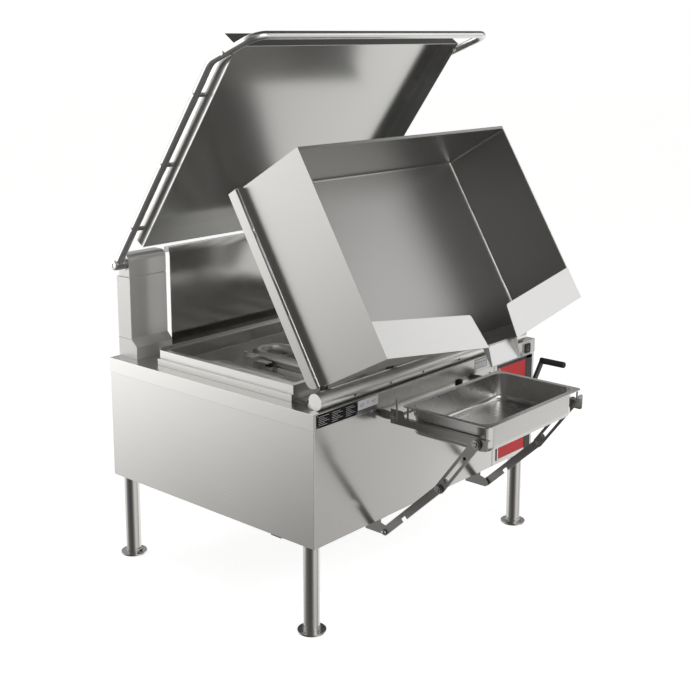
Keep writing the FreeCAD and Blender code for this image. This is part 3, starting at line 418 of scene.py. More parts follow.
def add_object(name: str, data: bpy.types.ID) -> bpy.types.Object:
    """Returns a new object of the scene that holds the given data."""
    made = bpy.data.objects.new(name, data)
    bpy.context.scene.collection.objects.link(made)
    return made


def soften(piece: bpy.types.Object, width: float) -> None:
    """Softens a piece's sharp edges and keeps its flat faces flat.

    Args:
        piece: the object.
        width: width of the softened edges.
    """
    for polygon in piece.data.polygons:
        polygon.use_smooth = True
    bevel = piece.modifiers.new("edges", "BEVEL")
    bevel.width = width
    bevel.segments = 2
    bevel.limit_method = "ANGLE"
    bevel.angle_limit = math.radians(40)
    flat = piece.modifiers.new("flat", "WEIGHTED_NORMAL")
    flat.mode = "FACE_AREA"
    flat.weight = 100
    flat.thresh = 0.001
    flat.keep_sharp = True


def dress(nodes: dict[str, bpy.types.Object]) -> None:
    """Gives every CAD node its finish and softened edges.

    Args:
        nodes: the frame's CAD objects by name.
    """
    for finish, names in WORN_BY.items():
        for name in names:
            piece = nodes[name]
            piece.data.materials.clear()
            piece.data.materials.append(finish.build())
            weld = piece.modifiers.new("weld", "WELD")
            weld.merge_threshold = WELD
            soften(piece, CAD_EDGE)
            log.info("dressed %s", name)


class Head(Enum):
    """A fastener's head: how many sides it has, and its outline as (radius, height) shares."""

    HEX = (6, ((1.0, 0.0), (1.0, 0.6), (0.86, 0.74)))
    DOME = (24, ((1.0, 0.0), (0.96, 0.22), (0.74, 0.5), (0.36, 0.66), (0.03, 0.7)))
    WASHER = (32, ((1.5, 0.0), (1.5, 0.14), (1.42, 0.2)))
    CAP = (32, ((1.0, 0.0), (1.0, 0.12), (0.9, 0.2), (0.55, 0.24), (0.42, 0.1), (0.03, 0.1)))


ON_WASHER = 0.18  # height of a washer under a hexagon head, as a share of the head's radius


@dataclass
class Piece:
    """One new piece, built in mesh code and riding on a CAD body.

    Args:
        name: the piece's name.
        finish: its material.
        slot: the record's slot for its finish; not used.
        soften: width of its softened edges.
        body: the CAD body that carries it.
        made: its mesh while it is built.
    """

    name: str
    finish: Metal | Coating
    slot: Slot
    soften: float = FINE_EDGE
    body: str = "cabinet"
    made: bmesh.types.BMesh = field(default_factory=bmesh.new)

    def slab(self, low: Point, high: Point) -> None:
        """Adds a box between two corners.

        Args:
            low: its lowest corner.
            high: its highest corner.
        """
        low, high = Vector(low), Vector(high)
        cube = bmesh.ops.create_cube(self.made, size=1.0)
        for vertex in cube["verts"]:
            vertex.co = (low + high) / 2 + vertex.co * (high - low)

    def plate(self, corner: Point, wide: float, tall: float, out: float,
              seat: float = SEAT) -> None:
        """Adds a thin plate on a face that looks to the front.

        Args:
            corner: its upper left corner, on that face.
            wide: its width.
            tall: its height.
            out: how far it stands out of the face.
            seat: how deep its back lies in the face.
        """
        x, y, z = corner
        self.slab((x, y - out, z - tall), (x + wide, y + seat, z))

    def turned(self, foot: Point, axis: Point, rings: list[Pair],
               sides: int) -> None:
        """Adds a turned or prismatic solid.

        Args:
            foot: the point where its axis starts.
            axis: the direction of its axis.
            rings: the (radius, height) of each ring of its outline.
            sides: how many sides it has.
        """
        turn = Vector(axis).to_track_quat("Z", "Y")
        angles = [math.tau * step / sides for step in range(sides)]
        loops = []
        for radius, height in rings:
            ring = [Vector((radius * math.cos(angle), radius * math.sin(angle), height))
                    for angle in angles]
            loops.append([self.made.verts.new(Vector(foot) + turn @ corner) for corner in ring])
        for lower, upper in zip(loops, loops[1:]):
            for index in range(sides):
                after = (index + 1) % sides
                self.made.faces.new((lower[index], lower[after], upper[after], upper[index]))
        self.made.faces.new(reversed(loops[0]))
        self.made.faces.new(loops[-1])

    def head(self, foot: Point, axis: Point, kind: Head, radius: float) -> None:
        """Adds a fastener's head, and a washer under a hexagon's.

        Args:
            foot: the point of the carrying face under its middle.
            axis: the direction in which it stands out, of length one.
            kind: its form.
            radius: its radius.
        """
        foot, parts = Vector(foot), [(kind, 0.0)]
        if kind is Head.HEX:
            parts = [(Head.WASHER, 0.0), (kind, ON_WASHER * radius)]
        for part, rise in parts:
            sides, outline = part.value
            rings = [(share * radius, high * radius) for share, high in outline]
            self.turned(foot + Vector(axis) * rise, axis, rings, sides)

    def wire(self, points: list[Vector], radius: float) -> None:
        """Adds a stiff round wire with rounded elbows.

        Args:
            points: its corners.
            radius: its radius.
        """
        for start, end in zip(points, points[1:]):
            run = end - start
            self.turned(start, run, [(radius, 0.0), (radius, run.length)], 10)
        for corner in points[1:-1]:
            ball = bmesh.ops.create_icosphere(self.made, subdivisions=2, radius=radius)
            for vertex in ball["verts"]:
                vertex.co += corner

    def place(self) -> None:
        """Finishes the mesh and puts it on its body."""
        bmesh.ops.recalc_face_normals(self.made, faces=self.made.faces)
        mesh = bpy.data.meshes.new(self.name)
        self.made.to_mesh(mesh)
        self.made.free()
        mesh.materials.append(self.finish.build())
        piece = add_object(self.name, mesh)
        soften(piece, self.soften)
        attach(piece, self.body)
        log.info("added %s", self.name)


@dataclass
class DeckPlates:
    """The plates on the front of the deck's band: bare, or with ruled fields in place of print.

    Args:
        edge: the gap from the cabinet's corner to the first plate.
        drop: how far the plates hang below the deck's top.
        black: width and height of the black plate.
        black_thick: how far it stands out.
        columns: (left, width) of its columns of ruled fields, as shares of its width.
        rows: how many fields each column has.
        first_row: where the first one starts, as a share of the plate's height.
        row_step: the distance between two, as a share of that height.
        shorter: how much of its length each field loses to the longest, at most twice.
        rule: height of a ruled field.
        rivet: radius of its rivets.
        rivet_inset: how far they are from its edges.
        pale: width and height of the pale plate beside it.
        pale_thick: how far it stands out.
        pale_gap: the gap between the two plates.
        pale_drop: how much lower the pale one hangs.
        dash: height of the dashes on it.
        dashes: (left, top, length) of each dash, as shares of its size.
        label: width and height of the outlined label at the right.
        label_at: how far its left edge is from the cabinet's corner.
        label_thick: how far it stands out.
        outline: width of its outline.
        outline_thick: how far the outline stands out.
        divider: how far its middle line is above its foot, as a share of its height.
    """

    edge: float = 11 * MM
    drop: float = 4 * MM
    black: Pair = (182 * MM, 41 * MM)
    black_thick: float = 0.8 * MM
    columns: tuple[Pair, ...] = ((0.05, 0.26), (0.37, 0.26), (0.71, 0.24))
    rows: int = 6
    first_row: float = 0.16
    row_step: float = 0.13
    shorter: float = 0.22
    rule: float = 0.9 * MM
    rivet: float = 1.8 * MM
    rivet_inset: float = 3.5 * MM
    pale: Pair = (94 * MM, 29 * MM)
    pale_thick: float = 0.4 * MM
    pale_gap: float = 3 * MM
    pale_drop: float = 1 * MM
    dash: float = 1.1 * MM
    dashes: tuple[Triple, ...] = (
        (0.08, 0.45, 0.26), (0.08, 0.62, 0.2), (0.46, 0.3, 0.06), (0.46, 0.42, 0.06),
        (0.46, 0.54, 0.06), (0.68, 0.42, 0.22), (0.68, 0.58, 0.17))
    label: Pair = (70 * MM, 33 * MM)
    label_at: float = 801 * MM
    label_thick: float = 0.4 * MM
    outline: float = 1.3 * MM
    outline_thick: float = 0.5 * MM
    divider: float = 0.6

    def build(self) -> None:
        """Makes the three plates, from left to right."""
        low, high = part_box("top_deck")
        corner = Vector((low.x + self.edge, low.y, high.z - self.drop))
        self.black_plate(corner)
        aside = self.black[0] + self.pale_gap
        self.pale_plate(corner + Vector((aside, 0.0, -self.pale_drop)))
        self.blank_label(Vector((low.x + self.label_at, corner.y, corner.z)))

    def black_plate(self, corner: Vector) -> None:
        """Makes the black plate with its ruled fields and rivets.

        Args:
            corner: its upper left corner, on the band.
        """
        wide, tall = self.black
        front = corner.y - self.black_thick
        plate = Piece("data_plate", PRINT_BLACK, Slot.PAINT, 0.3 * MM)
        plate.plate(corner, wide, tall, self.black_thick)
        plate.place()
        rules = Piece("data_plate_fields", DIAL, Slot.STEEL)
        for left, share in self.columns:
            for row in range(self.rows):
                loss = self.shorter * ((row * 2 + round(left * 10)) % 3)
                top = corner.z - (self.first_row + self.row_step * row) * tall
                rules.plate((corner.x + left * wide, front, top), share * wide * (1.0 - loss),
                            self.rule, INK, 0.1 * MM)
        rules.place()
        rivets = Piece("data_plate_rivets", BOLT, Slot.STEEL)
        for x in (corner.x + self.rivet_inset, corner.x + wide - self.rivet_inset):
            for z in (corner.z - self.rivet_inset, corner.z - tall + self.rivet_inset):
                rivets.head((x, front, z), FRONT, Head.DOME, self.rivet)
        rivets.place()

    def pale_plate(self, corner: Vector) -> None:
        """Makes the pale plate with its dashes.

        Args:
            corner: its upper left corner, on the band.
        """
        wide, tall = self.pale
        plate = Piece("pale_plate", FILM, Slot.STEEL, 0.2 * MM)
        plate.plate(corner, wide, tall, self.pale_thick)
        plate.place()
        marks = Piece("pale_plate_fields", SHADE, Slot.PAINT)
        for left, down, length in self.dashes:
            at = corner + Vector((left * wide, -self.pale_thick, -down * tall))
            marks.plate(at, length * wide, self.dash, INK, 0.4 * self.pale_thick)
        marks.place()

    def blank_label(self, corner: Vector) -> None:
        """Makes the blank label with its dark outline.

        Args:
            corner: its upper left corner, on the band.
        """
        wide, tall = self.label
        label = Piece("blank_label", FILM, Slot.STEEL, 0.2 * MM)
        label.plate(corner, wide, tall, self.label_thick)
        label.place()
        frame = Piece("blank_label_outline", SHADE, Slot.PAINT)
        for aside in (0.0, wide - self.outline):
            frame.plate(corner + Vector((aside, 0.0, 0.0)), self.outline, tall,
                        self.outline_thick, 0.0)
        for down in (tall, (1.0 - self.divider) * tall, self.outline):
            frame.plate(corner + Vector((0.0, 0.0, self.outline - down)), wide, self.outline,
                        self.outline_thick, 0.0)
        frame.place()


@dataclass
class ConsoleMarks:
    """What is printed or laid on the console: a dark bar and painted shade at the panel's edges, a
    painted shadow in the seam, the dial, and the switch's marks.

    Args:
        side_border: width of the dark bar at the panel's right.
        top_painted_shade: height of the painted shade along its top, a dark strip laid where the frame
            shades the panel.
        border: how far both stand out, and how deep they lie.
        seam: the same for the painted shadow line over the seam between the two sheets.
        lap: how far the seam's shadow laps over each.
        ticks: how many ticks the dial has.
        sweep: the angle that they cover, in degrees.
        tick_from: where a tick starts, in radii of the knob.
        tick_to: where it ends.
        long_to: where each third one ends.
        tick: radius of a tick.
        pointer: width and height of the knob's pointer.
        pointer_drop: how far it is below the knob's top.
        pointer_thick: how far it stands out.
        grow: how far the switch's surround reaches past its bezel.
        recess: how far the rocker's marked face lies behind its foremost edge.
        bar: width and height of the mark for on.
        bar_at: how far its top is above the rocker's middle.
        bar_relief: how far it stands out, and how deep it lies.
        ring: radius of the mark for off.
        ring_line: radius of its line.
        ring_at: how far its middle is below the rocker's.
    """

    side_border: float = 38 * MM
    top_painted_shade: float = 11 * MM
    border: Pair = (0.3 * MM, 1.5 * MM)
    seam: Pair = (0.15 * MM, 0.5 * MM)
    lap: float = 0.5 * MM
    ticks: int = 13
    sweep: float = 288.0
    tick_from: float = 1.18
    tick_to: float = 1.42
    long_to: float = 1.55
    tick: float = 0.5 * MM
    pointer: Pair = (1.6 * MM, 7 * MM)
    pointer_drop: float = 5 * MM
    pointer_thick: float = 0.15 * MM
    grow: float = 5 * MM
    recess: float = 1.2 * MM
    bar: Pair = (1 * MM, 4 * MM)
    bar_at: float = 8 * MM
    bar_relief: Pair = (0.1 * MM, 0.8 * MM)
    ring: float = 2.2 * MM
    ring_line: float = 0.45 * MM
    ring_at: float = 6 * MM

    def build(self) -> None:
        """Makes the dark bar and painted shade at the panel's edges, the painted shadow in the seam,
        the dial and the switch's marks.
        """
        self.bar_shade_and_seam()
        self.dial()
        self.switch()

    def bar_shade_and_seam(self) -> None:
        """Makes the dark bar at the panel's right, painted shade along its top, and a painted shadow
        line over the seam between the two front sheets.
        """
        low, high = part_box("control_frame")
        # Painted shade: the strip along the panel's top is a dark sheet laid where the frame shades
        # it; the strip at its right is a dark bar.
        border = Piece("console_bar_and_painted_shade", BLACK_PAINT, Slot.PAINT, 0.2 * MM)
        border.plate((high.x - self.side_border, low.y, high.z), self.side_border,
                     high.z - low.z, *self.border)
        border.plate((low.x, low.y, high.z), high.x - low.x, self.top_painted_shade, *self.border)
        border.place()
        # Painted shadow: a dark strip laid over the gap between the two sheets, lapping onto each,
        # darkens the seam where shade falls.
        left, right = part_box("front_panel")[1].x - self.lap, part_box("console_face")[0].x + self.lap
        low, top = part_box("console_face")[0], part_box("top_deck")[0].z
        seam = Piece("console_seam_shadow", SHADE, Slot.PAINT)
        seam.plate((left, low.y, top), right - left, top - low.z, *self.seam)
        seam.place()

    def dial(self) -> None:
        """Makes the ticks around the knob, spread to both sides of the top, and its pointer."""
        low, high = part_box("thermostat_knob")
        middle, radius = (low + high) / 2, (high.x - low.x) / 2
        hub = Vector((middle.x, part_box("control_panel")[0].y + SEAT, middle.z))
        dial = Piece("dial_ticks", DIAL, Slot.STEEL)
        for tick in range(self.ticks):
            turn = self.sweep * (tick / (self.ticks - 1) - 0.5)
            angle = math.radians(90.0 + turn)
            ray = Vector((math.cos(angle), 0.0, math.sin(angle))) * radius
            reach = self.tick_to if tick % 3 else self.long_to
            dial.wire([hub + ray * self.tick_from, hub + ray * reach], self.tick)
        dial.place()
        pointer = Piece("knob_pointer", DIAL, Slot.STEEL, body="thermostat_knob")
        wide, tall = self.pointer
        pointer.plate((middle.x - wide / 2, low.y, high.z - self.pointer_drop), wide, tall,
                      self.pointer_thick)
        pointer.place()

    def switch(self) -> None:
        """Makes the switch's surround and the marks for on and off on its rocker."""
        low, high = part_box("switch_bezel")
        around = Piece("switch_surround", FILM, Slot.STEEL, 0.2 * MM)
        around.plate((low.x - self.grow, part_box("top_deck")[0].y, high.z + self.grow),
                     high.x - low.x + 2 * self.grow, high.z - low.z + 2 * self.grow, 0.5 * MM)
        around.place()
        low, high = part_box("switch_rocker")
        middle, front = (low + high) / 2, low.y + self.recess
        marks = Piece("switch_marks", DIAL, Slot.STEEL, body="switch_rocker")
        wide, tall = self.bar
        marks.plate((middle.x - wide / 2, front, middle.z + self.bar_at), wide, tall,
                    *self.bar_relief)
        hub = Vector((middle.x, front + 2 * SEAT, middle.z - self.ring_at))
        turns = (math.tau * step / 16 for step in range(17))
        marks.wire([hub + Vector((math.cos(turn), 0.0, math.sin(turn))) * self.ring
                    for turn in turns], self.ring_line)
        marks.place()


@dataclass
class RackHardware:
    """Nuts, bolts and pins of the folding carrier and its stays.

    Args:
        nut: radius of the larger nuts.
        small: radius of the smaller ones.
        pin: radius of the pin in the upper link's slot.
        lower_end: how far the lower link's holes are from its box's edges.
        upper_end: how far the upper link's are.
        second: how far the second bolt is from the elbow, along the upper link.
        pin_at: the same for the pin, as a share of the way to the rail.
    """

    nut: float = 8.5 * MM
    small: float = 0.85 * 8.5 * MM
    pin: float = 5.5 * MM
    lower_end: float = 13 * MM
    upper_end: float = 16 * MM
    second: float = 35 * MM
    pin_at: float = 0.68

    def build(self) -> None:
        """Makes the hardware of both sides, each part on the body that carries it."""
        for side in Side:
            self.stay(side)

    def stay(self, side: Side) -> None:
        """Makes the hardware of one side.

        Args:
            side: the side.
        """
        name, out = side.name.lower(), side.axis()
        lower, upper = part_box(f"lower_link_{name}"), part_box(f"upper_link_{name}")
        elbow = Vector((0.0, lower[0].y + self.lower_end, lower[1].z - self.lower_end))
        root = Vector((0.0, lower[1].y - self.lower_end, lower[0].z + self.lower_end))
        bolt = Vector((0.0, upper[0].y + self.upper_end, upper[1].z - self.upper_end))
        inner = side.face(f"upper_link_{name}", inner=True)
        rail = Side.LEFT.face("rail_left")
        if side is Side.RIGHT:
            rail = sum(corner.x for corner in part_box("steam_pan")) - rail

        def at(point: Vector, x: float) -> Vector:
            """Returns a point of the side view, moved to a given x."""
            return Vector((x, point.y, point.z))

        nuts = Piece(f"stay_nuts_{name}", BOLT, Slot.STEEL, body="lower_links")
        nuts.head(at(elbow, side.face(f"lower_link_{name}")), out, Head.HEX, self.small)
        nuts.place()
        heads = Piece(f"stay_bolts_{name}", BOLT, Slot.STEEL, body="upper_links")
        for point in (elbow, elbow + (bolt - elbow).normalized() * self.second):
            heads.head(at(point, inner), -out, Head.CAP, self.small)
        heads.place()
        pin = Piece(f"slot_pin_{name}", SHADE, Slot.PAINT, 0.3 * MM, body="upper_links")
        pin.head(at(elbow.lerp(bolt, self.pin_at), inner), out, Head.DOME, self.pin)
        pin.place()
        studs = Piece(f"rail_bolts_{name}", BOLT, Slot.STEEL, body="rack")
        studs.head(at(bolt, rail), out, Head.HEX, self.nut)
        studs.place()
        ends = Piece(f"rod_nuts_{name}", BOLT, Slot.STEEL)
        middle = sum(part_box("carrier_rod"), Vector()) / 2
        ends.head(at(middle, side.face("carrier_rod")), out, Head.HEX, self.nut)
        ends.head(at(root, side.face("carrier_brackets")), out, Head.DOME, self.nut)
        ends.place()


@dataclass
class FireboxFittings:
    """The igniter's plug, electrodes and small post, all fixed inside the firebox.

    Args:
        plug_out: how far the plug stands out at the box's right.
        plug_front: how far it is behind the box's front.
        plug_wide: its width along the box.
        plug_foot: how far it is above the box's foot.
        plug_drop: how far it is below the box's top.
        boot_drop: the same for the middle of the plug's boot.
        boot: (radius, height) of the boot's rings.
        rod: radius of the electrodes.
        rods: (reach to the right, aside, drop at the end) of each.
        rods_at: where they start: right of the box, behind its front, below its top.
        bend: where they bend, as a share of their reach.
        bend_rise: how far they rise until then.
        tip_rise: how much of that is left where they turn down.
        post: width of the post.
        post_tall: how far it stands above the box.
        post_at: how far it is from the box's left and rear sides.
        screw: radius of the box's screws.
        screw_inset: how far they are from its edges.
        screw_rear: how far the rear ones are from its rear edge.
    """

    plug_out: float = 15 * MM
    plug_front: float = 18 * MM
    plug_wide: float = 26 * MM
    plug_foot: float = 20 * MM
    plug_drop: float = 14 * MM
    boot_drop: float = 24 * MM
    boot: tuple[Pair, ...] = ((6 * MM, 0.0), (6 * MM, 6 * MM), (4 * MM, 9 * MM))
    rod: float = 1.2 * MM
    rods: tuple[Triple, ...] = ((58 * MM, 6 * MM, 26 * MM), (92 * MM, -12 * MM, 30 * MM))
    rods_at: Triple = (14 * MM, 30 * MM, 20 * MM)
    bend: float = 0.35
    bend_rise: float = 14 * MM
    tip_rise: float = 12 * MM
    post: float = 10 * MM
    post_tall: float = 13 * MM
    post_at: Pair = (3 * MM, 2 * MM)
    screw: float = 2.4 * MM
    screw_inset: float = 8 * MM
    screw_rear: float = 26 * MM

    def build(self) -> None:
        """Makes the plug, two stiff electrodes, the post and the screws of the box."""
        low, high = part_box("igniter")
        front, back = low.y + self.plug_front, low.y + self.plug_front + self.plug_wide
        plug = Piece("igniter_plug", BLACK, Slot.PLASTIC, 1.5 * MM)
        plug.slab((high.x - ROOT, front, low.z + self.plug_foot),
                  (high.x + self.plug_out, back, high.z - self.plug_drop))
        plug.turned((high.x + self.plug_out, (front + back) / 2, high.z - self.boot_drop),
                    (1, 0, 0.2), self.boot, 20)
        plug.place()
        rods = Piece("igniter_electrodes", NOSE, Slot.STEEL)
        right, behind, below = self.rods_at
        start = Vector((high.x + right, low.y + behind, high.z - below))
        for reach, aside, drop in self.rods:
            elbow = start + Vector((self.bend * reach, aside, self.bend_rise))
            end = start + Vector((reach, aside, self.tip_rise))
            rods.wire([start, elbow, end, end - Vector((0.0, 0.0, drop))], self.rod)
        rods.place()
        post = Piece("igniter_post", POST, Slot.PANEL, 0.5 * MM)
        x, y = low.x + self.post_at[0], high.y - self.post_at[1]
        post.slab((x, y - self.post, high.z - ROOT), (x + self.post, y, high.z + self.post_tall))
        post.place()
        screws = Piece("igniter_screws", BOLT, Slot.STEEL)
        for x in (low.x + self.screw_inset, high.x - self.screw_inset):
            for y in (low.y + self.screw_inset, high.y - self.screw_rear):
                screws.head((x, y, high.z), UP, Head.DOME, self.screw)
        screws.place()


@dataclass
class CabinetTrim:
    """Screws, seams and the small bracket under the cabinet's left edge.

    Args:
        rear_screw: radius of the rear panel's screws.
        columns: how many of them each long edge has.
        inset: how far the first and the last are from the panel's sides.
        margin: how far all are from its long edges.
        nose_screw: radius of the screws in the bullnose rail.
        nose_at: where they are along it, as shares of its length.
        nose_angle: how far below the level they are, in degrees.
        seam_at: how far the posts' joint line is above their foot.
        seam_ends: how far it ends from their front and their rear.
        seam: height of that line.
        relief: how far it stands out, and how deep it lies.
        bracket: width, depth and height of the bracket.
        bracket_at: how far it is from the frame's left and front sides.
    """

    rear_screw: float = 4.2 * MM
    columns: int = 7
    inset: float = 22 * MM
    margin: float = 14 * MM
    nose_screw: float = 3.4 * MM
    nose_at: tuple[float, ...] = (0.139, 0.295, 0.446, 0.625)
    nose_angle: float = 18.0
    seam_at: float = 65 * MM
    seam_ends: Pair = (27 * MM, 1 * MM)
    seam: float = 0.9 * MM
    relief: float = 0.12 * MM
    bracket: Triple = (30 * MM, 44 * MM, 10 * MM)
    bracket_at: Pair = (4 * MM, 140 * MM)

    def build(self) -> None:
        """Makes everything small that is fixed to the cabinet."""
        self.rear_screws()
        self.nose_screws()
        self.post_seams()
        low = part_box("base_frame")[0]
        foot = low + Vector((*self.bracket_at, ROOT - self.bracket[2]))
        bracket = Piece("under_bracket", PRIMER, Slot.FRAME, 0.6 * MM)
        bracket.slab(foot, foot + Vector(self.bracket))
        bracket.place()

    def rear_screws(self) -> None:
        """Makes the screws along the rear panel's long edges."""
        low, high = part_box("rear_panel")
        run = high.x - low.x - 2 * self.inset
        screws = Piece("rear_screws", BOLT, Slot.STEEL)
        for column in range(self.columns):
            x = low.x + self.inset + run * column / (self.columns - 1)
            for z in (low.z + self.margin, high.z - self.margin):
                screws.head((x, high.y, z), BACK, Head.DOME, self.rear_screw)
        screws.place()

    def nose_screws(self) -> None:
        """Makes the dark screws in the front of the bullnose rail."""
        low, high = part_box("bullnose_rail")
        angle = math.radians(self.nose_angle)
        ray = Vector((0.0, -math.cos(angle), -math.sin(angle)))
        screws = Piece("nose_screws", SHADE, Slot.PAINT)
        for share in self.nose_at:
            centre = Vector((low.x + share * (high.x - low.x), (low.y + high.y) / 2,
                             (low.z + high.z) / 2))
            screws.head(centre + ray * (high.y - low.y) / 2, ray, Head.DOME, self.nose_screw)
        screws.place()

    def post_seams(self) -> None:
        """Makes the dark joint line on the outer side of each hinge post."""
        for side in Side:
            post = f"hinge_post_{side.name.lower()}"
            (low, high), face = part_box(post), side.face(post)
            level = low.z + self.seam_at
            seam = Piece(f"post_seam_{side.name.lower()}", SHADE, Slot.PAINT)
            seam.slab((face - self.relief, low.y + self.seam_ends[0], level),
                      (face + self.relief, high.y - self.seam_ends[1], level + self.seam))
            seam.place()


@dataclass
class PivotTrim:
    """The caps on the lid's pivots and the crank's hub bolt.

    Args:
        cap: radius of a cap, as a share of the pivot's.
        hub: radius of the bolt in the crank's hub.
    """

    cap: float = 0.8
    hub: float = 6.5 * MM

    def build(self) -> None:
        """Makes the pivots' end caps and the crank's bolt."""
        low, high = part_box("lid_pivots")
        middle, radius = (low + high) / 2, self.cap * (high.z - low.z) / 2
        caps = Piece("pivot_caps", TUBE, Slot.STEEL, body="lid")
        for side in Side:
            foot = (side.face("lid_pivots"), middle.y, middle.z)
            caps.head(foot, side.axis(), Head.CAP, radius)
        caps.place()
        low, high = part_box("crank_spindle")
        middle = (low + high) / 2
        bolt = Piece("crank_bolt", BOLT, Slot.STEEL, body="crank")
        bolt.head((middle.x, low.y, middle.z), FRONT, Head.HEX, self.hub)
        bolt.place()


@dataclass(frozen=True)
class Glow:
    """One soft bright patch of the studio, as the metal sees it.

    Args:
        azimuth: its direction, turned from +Y toward +X, in degrees.
        elevation: its height above the horizon, in degrees.
        wide: its spread to each side, in degrees.
        tall: its spread up and down, in degrees.
        strength: its brightness in the middle.
    """

    azimuth: float
    elevation: float
    wide: float
    tall: float
    strength: float


@dataclass(frozen=True)
class SoftBox:
    """One square lamp.

    Args:
        name: its name.
        where: its place.
        at: the point that it faces.
        size: its side.
        power: its power, in watts.
    """

    name: str
    where: Point
    at: Point
    size: float
    power: float

    def build(self) -> None:
        """Makes the lamp."""
        data = bpy.data.lights.new(self.name, "AREA")
        data.size = self.size
        data.energy = self.power
        made = add_object(self.name, data)
        made.location = self.where
        turn = (Vector(self.at) - Vector(self.where)).to_track_quat("-Z", "Y")
        made.rotation_euler = turn.to_euler()
        log.info("lit %s", self.name)


GLOWS = (
    Glow(-28, -4, 12, 8, 1.60),
    Glow(-28, -16, 12, 8, 0.98),
    Glow(-50, -4, 12, 8, 1.20),
    Glow(-72, -10, 12, 14, 0.10),
    Glow(112, -6, 10, 9, 0.13),
    Glow(112, -22, 10, 9, 1.21),
    Glow(148, -5, 10, 8, 0.84),
    Glow(148, -18, 10, 9, 0.55),
    Glow(100, -43, 25, 12, 0.37),
    Glow(85, -15, 14, 15, 0.95),
    Glow(48, 12, 25, 14, 0.34),
    Glow(-115, 25, 35, 28, 0.10),
    Glow(180, 0, 18, 24, 1.35),
    Glow(10, 30, 26, 20, 0.28),
    Glow(8, -15, 18, 16, 0.84),
    Glow(-40, 28, 22, 14, 0.68),
    Glow(48, -30, 22, 16, 0.76),
    Glow(70, -50, 30, 14, 0.29),
    Glow(-38, 8, 14, 8, 1.10),
    Glow(20, -55, 35, 16, 0.08),
    Glow(-70, -50, 35, 16, 0.14),
    Glow(-150, -45, 35, 16, 0.05),
)

SOFT_BOXES = (
    SoftBox("key", (-2.6, -1.2, 3.6), (0.0, 0.0, 0.7), 2.0, 2.5),
    SoftBox("top", (-0.5, 1.9, 2.7), (0.0, 0.1, 0.7), 1.4, 8.0),
    SoftBox("front", (-0.5, -3.0, 2.6), (0.0, -0.4, 0.5), 1.6, 22.0),
    SoftBox("fill", (3.4, -2.6, 2.6), (0.0, 0.0, 0.9), 2.4, 19.0),
)


def glow_group() -> Tree:
    """Returns the group for one soft patch of light, which it adds to those before it."""
    found = bpy.data.node_groups.get("Glow")
    if found:
        return found
    tree = bpy.data.node_groups.new("Glow", "ShaderNodeTree")
    for socket in ("Turn", "Lift", "Azimuth", "Elevation", "Wide", "Tall", "Strength", "Before"):
        tree.interface.new_socket(socket, in_out="INPUT", socket_type="NodeSocketFloat")
    tree.interface.new_socket("Total", in_out="OUTPUT", socket_type="NodeSocketFloat")
    given = tree.nodes.new("NodeGroupInput").outputs
    out = tree.nodes.new("NodeGroupOutput").inputs

    def squared(off: Socket, spread: Socket) -> Socket:
        """Returns the square of an angle in units of the patch's spread."""
        share = math_node(tree, "ABSOLUTE", math_node(tree, "DIVIDE", off, spread))
        return math_node(tree, "POWER", share, 2.0)

    aside = math_node(tree, "SUBTRACT", given["Turn"], given["Azimuth"])
    aside = squared(math_node(tree, "WRAP", aside, math.pi, -math.pi), given["Wide"])
    above = math_node(tree, "SUBTRACT", given["Lift"], given["Elevation"])
    above = squared(above, given["Tall"])
    power = math_node(tree, "MULTIPLY", math_node(tree, "ADD", aside, above), -0.5)
    fade = math_node(tree, "EXPONENT", power)
    feed(tree, out["Total"],
         math_node(tree, "MULTIPLY_ADD", fade, given["Strength"], given["Before"]))
    return tree


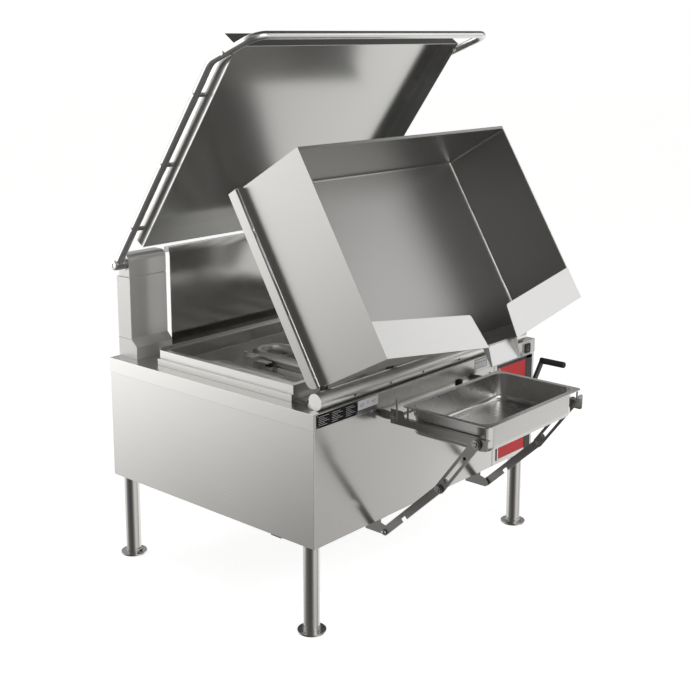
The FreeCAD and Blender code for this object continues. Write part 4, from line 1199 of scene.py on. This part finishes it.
@dataclass
class Studio:
    """Floor, world and lamps.

    Args:
        floor_size: side of the square floor.
        floor_gap: how far it lies below the feet.
        pale: the floor's colour, a grey.
        glow: the floor's own light, which makes it white where no shadow falls.
        dark: brightness of the studio away from its glows.
        warmth: colour of the studio's light.
        map_size: how finely the world's light is sampled, in pixels.
    """

    floor_size: float = 60.0
    floor_gap: float = 0.5 * MM
    pale: float = 0.9
    glow: float = 0.8
    dark: float = 0.03
    warmth: Triple = (1.0, 0.99, 0.975)
    map_size: int = 256

    def build(self) -> None:
        """Makes the floor, the world and the lamps."""
        self.floor()
        self.world()
        for box in SOFT_BOXES:
            box.build()

    def floor(self) -> None:
        """Makes a pale floor that the metal doesn't mirror."""
        mesh = bpy.data.meshes.new("floor")
        made = bmesh.new()
        bmesh.ops.create_grid(made, x_segments=1, y_segments=1, size=self.floor_size / 2)
        made.to_mesh(mesh)
        made.free()
        floor = add_object("floor", mesh)
        floor.location.z = -self.floor_gap
        floor.visible_glossy = False
        floor.visible_diffuse = False
        material = bpy.data.materials.new("floor")
        material.use_nodes = True
        shader = material.node_tree.nodes["Principled BSDF"]
        shader.inputs["Base Color"].default_value = (self.pale, self.pale, self.pale, 1.0)
        shader.inputs["Roughness"].default_value = 0.9
        shader.inputs["Emission Color"].default_value = (1.0, 1.0, 1.0, 1.0)
        shader.inputs["Emission Strength"].default_value = self.glow
        material.cycles.emission_sampling = "NONE"
        mesh.materials.append(material)

    def world(self) -> None:
        """Makes the studio's walls: white to the camera, dark with soft glows to the metal."""
        world = bpy.data.worlds.new("studio")
        bpy.context.scene.world = world
        world.use_nodes = True
        world.cycles.sampling_method = "MANUAL"
        world.cycles.sample_map_resolution = self.map_size
        tree = world.node_tree
        ray = tree.nodes.new("ShaderNodeSeparateXYZ")
        direction = tree.nodes.new("ShaderNodeTexCoord").outputs["Generated"]
        feed(tree, ray.inputs[0], direction)
        turn = math_node(tree, "ARCTAN2", ray.outputs["X"], ray.outputs["Y"])
        lift = math_node(tree, "ARCSINE", ray.outputs["Z"])
        total: Fed = self.dark
        for glow in GLOWS:
            patch = tree.nodes.new("ShaderNodeGroup")
            patch.node_tree = glow_group()
            for socket, value in (
                    ("Turn", turn), ("Lift", lift), ("Azimuth", math.radians(glow.azimuth)),
                    ("Elevation", math.radians(glow.elevation)), ("Wide", math.radians(glow.wide)),
                    ("Tall", math.radians(glow.tall)), ("Strength", glow.strength),
                    ("Before", total)):
                feed(tree, patch.inputs[socket], value)
            total = patch.outputs["Total"]
        studio = tree.nodes["Background"]
        feed(tree, studio.inputs["Color"], (*self.warmth, 1.0))
        feed(tree, studio.inputs["Strength"], total)
        white = tree.nodes.new("ShaderNodeBackground")
        feed(tree, white.inputs["Color"], (1.0, 1.0, 1.0, 1.0))
        mix = tree.nodes.new("ShaderNodeMixShader")
        path = tree.nodes.new("ShaderNodeLightPath")
        feed(tree, mix.inputs["Fac"], path.outputs["Is Camera Ray"])
        feed(tree, mix.inputs[1], studio.outputs[0])
        feed(tree, mix.inputs[2], white.outputs[0])
        feed(tree, tree.nodes["World Output"].inputs["Surface"], mix.outputs[0])


@dataclass
class Viewpoint:
    """The camera, standing where the photograph was taken from.

    Args:
        place: the camera's place.
        pitch: how far it looks down, in degrees.
        heading: the way it faces, turned from +Y toward +X, in degrees.
        lens: focal length, in mm.
        sensor: width of the sensor, in mm.
        shift: vertical shift.
        sight: how far it sees.
    """

    place: Triple = (-2.9854, -2.703, 1.7859)
    pitch: float = 10.947
    heading: float = 48.655
    lens: float = 61.92
    sensor: float = 36.0
    shift: float = -0.12
    sight: float = 200.0

    def build(self) -> None:
        """Makes the camera and sets it as the scene's."""
        data = bpy.data.cameras.new("camera")
        data.lens = self.lens
        data.sensor_width = self.sensor
        data.shift_y = self.shift
        data.clip_end = self.sight
        camera = add_object("camera", data)
        camera.location = self.place
        camera.rotation_euler = (math.radians(90.0 - self.pitch), 0.0, math.radians(-self.heading))
        bpy.context.scene.camera = camera


def main() -> None:
    """Builds everything in order."""
    logging.basicConfig(level=logging.INFO, format="%(message)s")
    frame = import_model()
    bpy.context.scene.view_settings.view_transform = "Standard"
    dress(frame["nodes"])
    for part in (DeckPlates(), ConsoleMarks(), RackHardware(), FireboxFittings(), CabinetTrim(),
                 PivotTrim(), Studio(), Viewpoint()):
        part.build()


if __name__ == "__main__":
    main()
